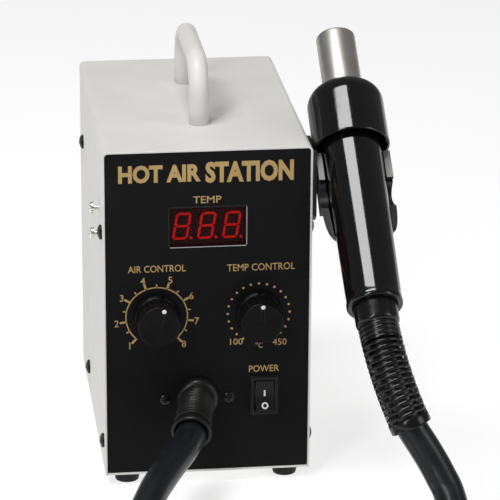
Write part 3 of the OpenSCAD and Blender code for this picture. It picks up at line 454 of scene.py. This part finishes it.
def softened(node, material, edge):
    """Stands for a CAD node with its own shape and its edges broken, as real edges are."""
    same_point = 1e-6
    flat = math.radians(0.6)
    source = frame["nodes"][node]
    bm = bmesh.new()
    bm.from_mesh(source.data)
    bmesh.ops.remove_doubles(bm, verts=bm.verts, dist=same_point)
    bmesh.ops.dissolve_limit(bm, angle_limit=flat, verts=bm.verts, edges=bm.edges)
    return piece(node + "_finished", bm, Matrix.Identity(4), source["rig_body"], material, (node,),
                 edge, 30)


# ---- Hose ----


def guard_point(turn):
    """The centre line of the hose guard in the handpiece's frame, at an angle round its bend."""
    out = GUARD_BEND * (1 - math.cos(turn))
    return Vector((out * math.cos(GUARD_AZIMUTH), out * math.sin(GUARD_AZIMUTH),
                   -GRIP_LEN - GUARD_BEND * math.sin(turn)))


# The hose's points are in the case's x and y, and above the bench.
BOOT_TO_BENCH = [(-8.9, -12.8, 50.4), (-10.9, -22, 47.6), (-13.1, -32, 44.2), (-18.6, -44, 40.9),
                 (-26, -56, 37.6), (-33, -68, 34.3), (-39.4, -80, 30.8), (-48, -100, 23.5),
                 (-54, -120, 16.2), (-57.2, -140, 10.9), (-58.7, -158, HOSE_R)]
BENCH_TO_GUARD = [(119, -178, 11.2), (121.6, -163, 16.6), (122, -150, 24), (121.1, -138.4, 32.9),
                  (118.7, -127, 44.3), (115.4, -122, 51.3), (111.3, -117.2, 58.9), (106.1, -112.6, 67.4)]
COIL_AT = Vector((38, -176))
COIL_R = 96.7
COIL_TURNS = 525.0  # degrees of coil
COIL_STEPS = 35
HALF_TURN = 180


def hose_route():
    """Boot, down to the bench, round the coil and up through the guard, in the case's frame."""
    route = list(BOOT_TO_BENCH)
    for i in range(COIL_STEPS + 1):
        turned_by = COIL_TURNS * i / COIL_STEPS
        # The second half turn winds in by one hose, so the next turn lies inside the first.
        wound_in = min(max((turned_by - HALF_TURN) / HALF_TURN, 0), 1)
        r = COIL_R - 2 * HOSE_R * wound_in
        a = math.radians(HALF_TURN + turned_by)
        route.append((COIL_AT.x + r * math.cos(a), COIL_AT.y + r * math.sin(a), HOSE_R))
    route += BENCH_TO_GUARD
    route = [Vector((x, y, z + BENCH)) for x, y, z in route]
    to_case = CASE.inverted() @ HAND
    steps = 6
    inside_grip = 8
    route += [to_case @ guard_point(GUARD_TURN * (1 - i / steps)) for i in range(steps + 1)]
    route.append(to_case @ Vector((0, 0, inside_grip - GRIP_LEN)))
    return route


def add_hose():
    route = smooth_route(hose_route(), 6)
    bm = swept(route, [HOSE_R] * len(route), 40)
    hose = piece("hose", bm, CASE, None, HOSE, ("hose_run", "hose_coil"))
    points = [CASE @ p for p in route]
    length = sum((b - a).length for a, b in zip(points, points[1:]))
    print("hose length", round(length, 3))
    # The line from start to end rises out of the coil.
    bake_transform(hose)


add_hose()

# ---- Case ----


def add_case():
    """The bent cover: one sheet with two rounded upper corners."""
    corner_r = 3.2
    sheet = 1.2
    middle = CASE_W / 2 - corner_r
    top = CASE_H - corner_r

    def arch(inset):
        r = corner_r - inset
        foot = CASE_W / 2 - inset
        return [(foot, 0)] + arc(middle, top, r, 0, 90, 8) + arc(-middle, top, r, 90, 180, 8) + [(-foot, 0)]

    bm = prism(arch(0) + arch(sheet)[::-1], 0, CASE_D)
    stand = CASE @ Matrix.Translation((0, CASE_D, 0)) @ Matrix.Rotation(math.pi / 2, 4, "X")
    piece("case_shell", bm, stand, "station", CREAM, ("case_cover",), 0.28, 25, 3)


def add_handle():
    """A round bar bent twice, with its ends just off the cover."""
    bar_r = 5.8
    near = 50.0  # the front leg's distance from the case's front
    far = near + 85.0
    bend_r = 18.0
    end_r = bar_r - 0.35
    top = CASE_H + 41.0 - bar_r
    leg = [CASE_H + 0.02, CASE_H + 0.5, CASE_H + 8]
    route = [Vector((0, near, z)) for z in leg]
    bends = arc(near + bend_r, top - bend_r, bend_r, 180, 90, 14)
    bends += arc(far - bend_r, top - bend_r, bend_r, 90, 0, 14)
    route += [Vector((0, y, z)) for y, z in bends]
    route += [Vector((0, far, z)) for z in leg[::-1]]
    radii = [end_r] + [bar_r] * (len(route) - 2) + [end_r]
    bm = swept(route, radii, 48)
    piece("carry_bar", bm, CASE, "station", CREAM, ("carry_handle",), 0, 50)


add_case()
add_handle()

# ---- Panel print ----

INK = 0.02  # half the thickness of the print
# Words, middle x and z, width, height and how far the strokes are thickened.
LABELS = [
    ("HOT AIR", -27.5, 184.2, 47.0, 10.6, 0.045),
    ("STATION", 23.8, 184.2, 50.5, 12.6, 0.045),
    ("TEMP", -0.4, 168.0, 16.2, 4.2, 0.004),
    ("AIR CONTROL", -29.3, 127.2, 33.2, 4.2, 0.004),
    ("TEMP CONTROL", 30.7, 126.2, 39.2, 4.3, 0.004),
    ("POWER", 32.8, 63.4, 17.6, 4.1, 0.01),
    ("100", 16.6, 80.7, 7.4, 3.9, 0.004),
    ("450", 41.8, 79.6, 8.2, 3.9, 0.004),
    ("°C", 29.9, 78.0, 4.2, 3.6, 0.008),
]


def text_mesh(words, width, height, weight):
    """Flat letters, stretched to width x height and centred; with no width they keep their shape."""
    curve = bpy.data.curves.new("words", "FONT")
    curve.body = words
    curve.offset = weight
    curve.resolution_u = 3
    curve.extrude = INK
    ob = bpy.data.objects.new("words", curve)
    bpy.context.scene.collection.objects.link(ob)
    bpy.context.view_layer.update()
    mesh = bpy.data.meshes.new_from_object(ob.evaluated_get(bpy.context.evaluated_depsgraph_get()))
    bpy.data.objects.remove(ob)
    bpy.data.curves.remove(curve)
    xs = [v.co.x for v in mesh.vertices]
    ys = [v.co.y for v in mesh.vertices]
    tall = height / (max(ys) - min(ys))
    wide = width / (max(xs) - min(xs)) if width else tall
    bm = bmesh.new()
    bm.from_mesh(mesh)
    bpy.data.meshes.remove(mesh)
    bmesh.ops.translate(bm, verts=bm.verts, vec=(-(max(xs) + min(xs)) / 2, -(max(ys) + min(ys)) / 2, 0))
    bmesh.ops.scale(bm, verts=bm.verts, vec=(wide, tall, 1.0))
    return bm


def printed(outline):
    return prism(outline, -INK, INK)


def round_dial(x, r, angle):
    """A point at radius r about the dial at x, at an angle from the top, clockwise."""
    return x + r * math.sin(angle), DIAL_Z + r * math.cos(angle)


def tick(x, angle, start, stop, wide):
    """A radial mark of the dial at x."""
    out = Vector((math.sin(angle), math.cos(angle)))
    side = Vector((out.y, -out.x)) * wide / 2
    middle = Vector((x, DIAL_Z))
    corners = (out * start - side, out * stop - side, out * stop + side, out * start + side)
    return printed([tuple(middle + corner) for corner in corners])


def add_air_scale(bm):
    """A ring with long ticks at 1 to 8 and short ones between them."""
    x = -DIAL_X
    sweep = 138  # degrees either side of the top
    numbers = 8
    ring = [math.radians(2 * i - sweep) for i in range(sweep + 1)]
    outline = [round_dial(x, 18.1, a) for a in ring] + [round_dial(x, 17.4, a) for a in ring[::-1]]
    join(bm, printed(outline))
    for i in range(2 * numbers - 1):
        a = math.radians(-sweep + i * sweep / (numbers - 1))
        if i % 2:
            join(bm, tick(x, a, 17.6, 19.9, 0.75))
        else:
            join(bm, tick(x, a, 17.6, 21.6, 1.25))
            at = round_dial(x, 23.4, a)
            join(bm, text_mesh(str(i // 2 + 1), 0, 4.1, 0.006), Matrix.Translation((*at, 0)))


def add_temp_scale(bm):
    """Dots every 15 degrees."""
    dots = 21
    step = 15
    for i in range(dots):
        a = math.radians(step * (i - (dots - 1) / 2))
        join(bm, printed(circle(0.7, 20, *round_dial(DIAL_X, 18.0, a))))


def add_print():
    bm = bmesh.new()
    for words, x, z, width, height, weight in LABELS:
        join(bm, text_mesh(words, width, height, weight), Matrix.Translation((x, z, 0)))
    add_air_scale(bm)
    add_temp_scale(bm)
    piece("panel_print", bm, front(0, 0, PANEL_Y - 0.03), "station", GOLD)


add_print()

# ---- Display ----

WINDOW_W, WINDOW_H = 45.3, 24.8
WINDOW_X, WINDOW_Z = 0.05, 151.6


def add_window():
    """The window's dark rim, the light that its lower and right edges catch, and its red pane."""
    place = front(WINDOW_X, WINDOW_Z)
    rim = 1.3
    w, h = WINDOW_W, WINDOW_H
    bm = ring_prism(rounded(w, h, 1.2), rounded(w - rim, h - rim, 0.8), -1.5, 0.12)
    piece("window_edge", bm, place, "station", SATIN, (), 0.1)
    # A thin bright strip along the lower and right edges: a painted highlight.
    bm = prism(rounded(w - 1.6, 0.5, 0.2, 3, 0, 0.45 - h / 2), 0.0, 0.2)
    join(bm, prism(rounded(0.4, h - 1.6, 0.15, 3, w / 2 - 0.4, 0), 0.0, 0.2))
    piece("window_glint", bm, place, "station", EDGE_GLINT_METAL)
    gap = 0.06
    bm = prism(rounded(w - rim - gap, h - rim - gap, 0.8), -1.45, -0.75)
    piece("window_pane", bm, place, "station", FILTER, ("display_window",))


def add_digits():
    """Three digits with all seven segments and the point lit."""
    pitch = 14.3
    high, wide = 16.2, 9.0
    stroke, gap = 1.4, 0.4
    thick = 0.15
    point_r = 0.85
    slant = math.tan(math.radians(9.5))
    half = high / 2 - stroke / 2

    def segment(cx, cy, long, upright):
        a, b = long / 2, stroke / 2
        shape = [(-a, 0), (b - a, b), (a - b, b), (a, 0), (a - b, -b), (b - a, -b)]
        points = [(cx - v, cy + u) if upright else (cx + u, cy + v) for u, v in shape]
        return prism([(u + v * slant, v) for u, v in points], 0, thick)

    bm = bmesh.new()
    for i in (-1, 0, 1):
        at = Matrix.Translation((i * pitch - 0.3, 0, 0))
        for cy in (-half, 0, half):
            join(bm, segment(0, cy, wide - stroke - gap, False), at)
        for side in (-1, 1):
            for cy in (-half / 2, half / 2):
                join(bm, segment(side * (wide - stroke) / 2, cy, half - gap, True), at)
        join(bm, prism(circle(point_r, 16, wide / 2 + 0.75, 0.8 - high / 2), 0, thick), at)
    piece("led_segments", bm, front(0, 151.5, 3.75), "station", SEGMENTS, ("led_digits",))


add_window()
add_digits()

# ---- Knobs ----

KNOB_FACE_R = 12.0
KNOB_TOP = 16.8
KNOB_FACE = KNOB_TOP - 0.22  # the face lies a little below its rim
KNOB_BACK = PANEL_Y - 0.9  # the knob's back, just off the panel


def knob_profile():
    """From the shaft's hole round the skirt, up the side and in to the middle of the face."""
    side_r, side_low, taper, steps = 12.4, 3.6, 0.35, 6
    profile = [(3.4, 12.4), (3.4, 0.2), (6.5, 0.2), (6.5, 0.0), (13.2, 0.0), (13.55, 0.2), (13.6, 0.7),
               (13.5, 1.1), (12.75, 2.55), (12.5, 2.85), (12.2, 3.0), (12.15, 3.3), (side_r, side_low)]
    rise = KNOB_TOP - 1.1 - side_low
    profile += [(side_r - taper * i / steps, side_low + rise * i / steps) for i in range(1, steps + 1)]
    profile += arc(KNOB_FACE_R - 0.75, KNOB_TOP - 0.85, 0.85, 10, 90, 6)
    profile += [(KNOB_FACE_R - 1.05, KNOB_TOP - 0.16), (KNOB_FACE_R - 1.4, KNOB_FACE)]
    # Close rings let the pointer's groove be pressed into the face.
    profile += [(KNOB_FACE_R - 1.7 - 0.4 * i, KNOB_FACE) for i in range(26)]
    return profile + [(0, KNOB_FACE)]


def knob_shape(r, z, a):
    """Cuts the skirt's notch, the side's flutes and the pointer's groove."""
    pointer = math.pi / 2  # the pointer's direction before the knob is turned to its rest angle
    off = (a - pointer + math.pi) % (2 * math.pi) - math.pi
    notch_r, half_notch = 12.3, math.radians(4.2)
    flutes, flute_depth = 22, 0.34
    groove_r, groove_depth, groove_start, groove_end = 1.3, 0.5, 0.9, 8.4
    if r > notch_r and z < 2.9 and abs(off) < half_notch:
        r = notch_r
    if 3.4 < z < KNOB_TOP - 1.0 and r > 11:
        r -= flute_depth * max(0.0, math.cos(flutes * off)) ** 3
    if r < KNOB_FACE_R - 1.6 and z > KNOB_TOP - 0.5:
        across, along = r * math.sin(off), r * math.cos(off)
        beyond = max(groove_start - along, along - groove_end, 0.0)
        z -= groove_depth * math.sqrt(max(0.0, 1 - (across ** 2 + beyond ** 2) / groove_r ** 2))
    return r, z


def add_knob(name, x, rest, body, node):
    dot_at = 9.8  # how far the pointer's dot is from the knob's middle
    place = front(x, DIAL_Z, KNOB_BACK) @ Matrix.Rotation(-rest, 4, "Z")
    bm = turned(knob_profile(), 176, False, knob_shape)
    piece(name, bm, place, body, KNOB, (node,), 0, 40)
    dot = turned([(0, 0.26), (0.9, 0.23), (1.3, 0.06), (1.3, -0.5), (0, -0.5)], 28)
    on_face = place @ Matrix.Translation((0, dot_at, KNOB_FACE))
    piece(name + "_dot", dot, on_face, body, WHITE_MARK)


add_knob("air_knob_moulding", -DIAL_X, AIR_REST, "air_dial", "air_knob")
add_knob("temp_knob_moulding", DIAL_X, TEMP_REST, "temp_dial", "temp_knob")

# ---- Power switch ----

SWITCH_X, SWITCH_Z = 33.0, 47.0
ROCKER_PIVOT_Y = 0.2
ROCKER_REST = math.radians(-11)


def add_switch_case():
    """A stepped bezel and the housing behind the panel."""
    hole = rounded(12.0, 19.3, 0.5)
    # Width, height, corner, back and front of the bezel's two steps and of the housing's sides.
    layers = ((16.4, 24.5, 1.0, -0.05, 1.2), (14.9, 23.0, 0.8, 1.1, 2.0), (13.1, 21.3, 0.4, -14.6, 0.4))
    bm = bmesh.new()
    for width, height, corner, back, face in layers:
        join(bm, ring_prism(rounded(width, height, corner), hole, back, face))
    join(bm, prism(rounded(12.6, 20.0, 0.4), -14.8, -13.2))
    place = front(SWITCH_X, SWITCH_Z)
    piece("switch_case", bm, place, "station", SATIN, ("switch_housing",), 0.22)


def add_rocker():
    """The rocker, pressed in at its top, with its two marks."""
    half_h, half_w, bulge = 9.0, 5.2, 0.6
    middle_out, end_out, end_h = 1.95, 3.35, 8.6
    pivot = (CASE @ Matrix.Translation((SWITCH_X, ROCKER_PIVOT_Y, SWITCH_Z))
             @ Matrix.Rotation(ROCKER_REST, 4, "X"))
    # In the rocker's own frame the face looks along -y, z runs up and x across.
    side_view = [(-half_h, -3.0), (-end_h, -end_out), (-5.5, -2.75), (-2.5, -2.2), (0, -middle_out),
                 (2.5, -2.2), (5.5, -2.75), (end_h, -end_out), (half_h, -3.0), (half_h, 2.8),
                 (4, 6.6), (-4, 6.6), (-half_h, 2.8)]
    bm = prism([(y, h) for h, y in side_view], -1, 1)
    for v in bm.verts:  # the sides bulge towards the middle
        v.co.z *= half_w + bulge * (1 - (v.co.y / half_h) ** 2)
    bm.transform(Matrix(((0, 0, 1, 0), (1, 0, 0, 0), (0, 1, 0, 0), (0, 0, 0, 1))))
    piece("rocker_cap", bm, pivot, "power_rocker", SATIN, ("switch_rocker",), 0.35, 30, 3)

    def on_face(h, slope):
        """A place on the face at height h, tilted with it."""
        out = middle_out + (end_out - middle_out) * abs(h) / end_h
        return Matrix.Translation((0, h, out)) @ Matrix.Rotation(math.radians(slope), 4, "X")

    sunk, proud = -0.2, 0.16
    bm = prism(rounded(1.0, 3.6, 0.2), sunk, proud)
    bm.transform(on_face(1.4, 9))
    join(bm, ring_prism(circle(2.0, 32), circle(1.1, 32), sunk, proud), on_face(-5.9, -10))
    facing = pivot @ Matrix.Rotation(math.pi / 2, 4, "X")
    piece("rocker_marks", bm, facing, "power_rocker", WHITE_MARK)


add_switch_case()
add_rocker()

# ---- Hose outlet ----


def add_outlet_flange():
    r, edge = 12.3, 3.4
    profile = [(8.9, 0.05), (r - 0.1, 0.05), (r, 0.4), (r, edge)] + arc(r - edge, edge, edge, 0, 80, 12)
    profile += [(9.3, 6.9), (9.2, 6.5), (8.9, 6.5)]
    bm = turned(profile, 96, True)
    place = front(OUTLET_X, OUTLET_Z)
    piece("outlet_flange", bm, place, "station", BOOT, ("gland_flange",), 0, 34)


def add_outlet_boot():
    """A grooved boot that leans down and to the left, with a plain band at its mouth."""
    hole_r, groove_r = 8.95, 10.2
    profile = [(hole_r, -0.5), (10.1, -0.5), (10.3, 0.6), (10.3, 5.8)]
    z = 6.0
    groove = 0
    while z < 24.5:
        pitch = 1.75 + 0.3 * math.sin(2.1 * groove)  # the grooves aren't quite even
        swell = 10.75 + 0.3 * max(0.0, (z - 16) / 9)
        profile += [(groove_r, z), (swell - 0.1, z + 0.3), (swell, z + 0.5 * pitch),
                    (swell - 0.15, z + 0.8 * pitch), (groove_r + 0.05, z + 0.97 * pitch)]
        z += pitch
        groove += 1
    profile += [(10.6, z + 0.3), (10.9, z + 1.4), (11.3, z + 2.8), (11.7, z + 3.8), (11.75, 31.4),
                (11.5, 32.1), (11.0, 32.35), (10.2, 32.3), (9.4, 31.7), (8.98, 30.8), (hole_r, 24)]
    swing, droop = math.radians(-12.4), math.radians(18)
    place = (CASE @ Matrix.Translation((OUTLET_X, PANEL_Y - 2, OUTLET_Z + 0.5))
             @ Matrix.Rotation(swing, 4, "Z") @ Matrix.Rotation(math.pi / 2 + droop, 4, "X"))
    bm = turned(profile, 96, True)
    piece("outlet_boot", bm, place, "station", BOOT, ("gland_boot",), 0, 34)


add_outlet_flange()
add_outlet_boot()

# ---- Handpiece ----


def add_collar():
    """A cup over the grip's upper end, with a round shoulder and a hole for the barrel."""
    r, shoulder_low, shoulder_r = 22.1, 28.6, 12.1
    profile = [(19.9, 4.6), (20.2, 0.35), (20.6, 0.05), (21.5, 0.0), (21.9, 0.15), (r, 0.5), (r, 1.0),
               (r, 27.8), (r, 28.4)]
    profile += arc(r - shoulder_r, shoulder_low, shoulder_r, 3, 78, 16)
    profile += [(12.1, 40.75), (11.9, 40.95), (11.6, 40.9), (11.5, 40.5), (11.5, 33), (19.9, 26)]
    bm = turned(profile, 128, True)
    piece("collar_moulding", bm, HAND, "handpiece", GLOSS, ("collar",), 0, 30)


def add_barrel():
    """Thin steel tube with a rolled lip."""
    r, tip, wall = 11.4, 77.0, 0.8
    profile = [(r - wall, 26), (r, 26), (r, tip - 1.1), (r - 0.12, tip - 0.5), (r - 0.5, tip - 0.05),
               (r - 0.95, tip), (r - 1.35, tip - 0.25), (r - 1.55, tip - 0.8), (r - 1.1, tip - 1.8),
               (r - wall, tip - 2.8)]
    bm = turned(profile, 96, True)
    piece("barrel_tube", bm, HAND, "handpiece", STAINLESS, ("nozzle_barrel",), 0, 45)


def add_grip():
    """The grip tapers to its end, where a lip stands round a recess."""
    top_r, end_r = 16.9, 15.5
    end = -GRIP_LEN
    recess = end + 3.8

    def taper(z):
        return top_r + (top_r - end_r) * (z + 1) / (GRIP_LEN - 1)

    profile = [(14.3, 9.9), (top_r - 0.15, 9.9), (top_r, 9.6)]
    profile += [(taper(z), z) for z in range(-1, -100, -8)]
    profile += [(taper(-100), -100), (15.75, end + 4), (15.9, end + 2.8), (15.85, end + 1),
                (15.6, end + 0.4), (15.2, end), (13.4, end), (12.9, end + 0.2), (12.75, end + 0.6),
                (12.75, recess), (9.7, recess), (9.7, end + 9), (12.6, end + 9)]
    bm = turned(profile, 128, True)
    piece("grip_moulding", bm, HAND, "handpiece", GLOSS, ("grip",), 0, 30)


def along_guard(s, r, a):
    """A point s millimetres along the guard's centre line, at radius r and angle a round it."""
    turn = s / GUARD_BEND
    little = 0.001
    tangent = (guard_point(turn + little) - guard_point(turn - little)).normalized()
    side = Vector((-math.sin(GUARD_AZIMUTH), math.cos(GUARD_AZIMUTH), 0))
    out = tangent.cross(side)
    return guard_point(turn) + (side * math.cos(a) + out * math.sin(a)) * r


def guard_tube(bm, outline, start=0.0):
    """Carries a closed outline of (length, radius) points round the guard."""
    sides = 64
    rings = [[bm.verts.new(along_guard(start + s, r, 2 * math.pi * k / sides)) for k in range(sides)]
             for s, r in outline]
    for low, high in zip(rings, rings[1:] + rings[:1]):
        for i in range(sides):
            j = (i + 1) % sides
            bm.faces.new((low[i], low[j], high[j], high[i]))


def guard_bridge(bm, low, high, middle):
    """A short bar from ring to ring at the angle middle."""
    inner, outer, half = 10.75, 11.4, 0.12
    corners = ((inner, -half), (outer, -half), (outer, half), (inner, half))
    near, far = [[bm.verts.new(along_guard(s, r, middle + a)) for r, a in corners] for s in (low, high)]
    for u in range(4):
        v = (u + 1) % 4
        bm.faces.new((near[u], near[v], far[v], far[u]))
    bm.faces.new(near[::-1])
    bm.faces.new(far)


def add_guard():
    """A sprung guard: a plain sleeve, closed grooves, rings held apart by bridges, and an end band."""
    bm = bmesh.new()
    # The sleeve and the grooves.
    s, groove = 11.4, 2.5
    profile = [(-3.6, 9.1), (-3.6, 12.45), (9.5, 12.35), (10.6, 12.1), (s, 11.5)]
    for _ in range(4):
        profile += [(s + 0.3, 11.15), (s + 0.9, 11.1), (s + 1.3, 11.5), (s + 1.9, 11.62), (s + groove, 11.5)]
        s += groove
    guard_tube(bm, profile + [(s + 0.2, 10.2), (s - 2, 9.6), (9.0, 9.2)])
    # The rings.
    end = GUARD_TURN * GUARD_BEND
    band = end - 5.6
    first = s + 1.3
    count = round((band - first) / 3.15)
    pitch = (band - first) / count
    ring_w, ring_in, ring_edge = 1.64, 10.7, 11.25
    ring = [(0.0, ring_in), (0.0, ring_edge), (0.3, 11.5), (ring_w / 2, 11.66), (ring_w - 0.3, 11.5),
            (ring_w, ring_edge), (ring_w, ring_in)]
    for i in range(count):
        guard_tube(bm, ring, first + i * pitch)
    # The bridges stand at both sides of the seam, in turn at one set of angles and between them.
    seam = math.radians(-117)
    sunk = 0.1  # how far a bridge runs into either ring
    for i in range(-1, count):
        low = first + i * pitch + ring_w - sunk
        for angle in (62, 90, 118) if i % 2 else (48, 76, 104, 132):
            for sign in (-1, 1):
                guard_bridge(bm, low, low + pitch - ring_w + 2 * sunk, seam + sign * math.radians(angle))
    # The end band.
    guard_tube(bm, [(band, 10.3), (band, 11.4), (band + 0.5, 11.7), (end - 0.6, 11.75), (end - 0.15, 11.6),
                    (end, 11.3), (end, 10.7), (end - 0.5, 10.4)])
    piece("hose_guard_rings", bm, HAND, "handpiece", GUARD, ("hose_guard",), 0, 34)


add_collar()
add_barrel()
add_grip()
add_guard()

# ---- Carried-over CAD nodes ----

# Pieces made from a CAD node's own shape: look, how far edges are broken, and material slot.
SOFTENED = {
    "front_panel": (PANEL, 0.25, "panel_black"), "rear_panel": (PANEL, 0.2, "panel_black"),
    "holder_plate": (BLACK_STEEL, 0.4, "black_steel"), "holder_cradle": (BLACK_STEEL, 0.5, "black_steel"),
    "mains_inlet": (SATIN, 0.3, "matte_black"), "chassis_tray": (CREAM, 0.2, "case_steel"),
}
# Nodes that show as the CAD made them.
CAD_LOOKS = {
    "cover_brackets": ZINC, "cover_screws": BLACK_SCREW, "hanger_screws": NICKEL, "handle_screws": ZINC,
    "feet": RUBBER, "feet_screws": ZINC, "display_frame": SATIN, "led_block": SATIN, "display_board": BOARD,
    "air_pot": ZINC, "temp_pot": ZINC, "pot_nuts": ZINC, "air_shaft": ALUMINIUM, "temp_shaft": ALUMINIUM,
    "switch_terminals": BRASS, "gland_screws": BLACK_SCREW, "gland_plate": ZINC, "air_spigot": BRASS,
    "air_duct": WHITE_PLASTIC, "blower_scroll": SATIN, "blower_lid": SATIN, "blower_motor": ZINC,
    "blower_stand": ZINC, "blower_impeller": WHITE_PLASTIC, "motor_shaft": ZINC, "board_bracket": ZINC,
    "main_board": BOARD, "board_parts": PART_BLUE, "board_spacers": BRASS, "heat_sink": ALUMINIUM,
    "transformer": IRON, "inlet_pins": BRASS, "inlet_screws": NICKEL, "holder_screws": ZINC,
    "mica_sleeve": MICA, "heater_core": CERAMIC, "heater_coil": WIRE, "barrel_flange": ZINC,
}


def paint_light_on_prongs(ob):
    """The front faces of the cradle's two prongs face up towards the light, so a lighter steel paints that
    light on them.
    """
    prong_top, prong_foot = -1, -21
    ob.data.materials.append(PRONG_LIGHT_STEEL)
    to_hand = HAND.inverted()
    for face in ob.data.polygons:
        at = to_hand @ face.center
        facing = (to_hand.to_3x3() @ face.normal).normalized()
        if facing.y < -0.9 and abs(at.y) < 1 and prong_foot < at.z < prong_top:
            face.material_index = 1


for node, (look, edge, name) in SOFTENED.items():
    finished = softened(node, look, edge)
    # The cradle's prongs get painted light on their upward front faces.
    if node == "holder_cradle":
        paint_light_on_prongs(finished)
for node, look in CAD_LOOKS.items():
    mesh = frame["nodes"][node].data
    mesh.materials.clear()
    mesh.materials.append(look)

# ---- Stage and light ----


def add_stage():
    reach = 6.0
    bm = bmesh.new()
    corners = [bm.verts.new((x * reach, y * reach, 0)) for x, y in ((-1, -1), (1, -1), (1, 1), (-1, 1))]
    bm.faces.new(corners)
    floor = piece("floor", bm, Matrix.Identity(4), None, pale_floor())


def area_light(name, at, look_at, wide, tall, watts):
    data = bpy.data.lights.new(name, "AREA")
    data.shape = "RECTANGLE"
    data.size = wide
    data.size_y = tall
    data.energy = watts
    ob = bpy.data.objects.new(name, data)
    ob.location = at
    ob.rotation_euler = (Vector(look_at) - Vector(at)).to_track_quat("-Z", "Y").to_euler()
    bpy.context.scene.collection.objects.link(ob)


def add_light():
    """The overhead light makes the bright band down the collar and the grip."""
    scene = bpy.context.scene
    scene.view_settings.view_transform = "Standard"
    scene.world = bpy.data.worlds.new("world")
    scene.world.use_nodes = True
    sky = scene.world.node_tree.nodes["Background"]
    sky.inputs["Color"].default_value = (1, 1, 1, 1)
    sky.inputs["Strength"].default_value = 0.2
    area_light("overhead", (-0.5, -0.3, 1.9), (-0.5, -0.3, 0.1), 1.15, 0.5, 26)
    area_light("key", (-0.9, -1.3, 1.2), (0.05, 0, 0.12), 0.34, 1.3, 12)
    area_light("fill", (1.5, -0.9, 0.9), (0, 0, 0.1), 0.8, 1.0, 7)


add_stage()
add_light()
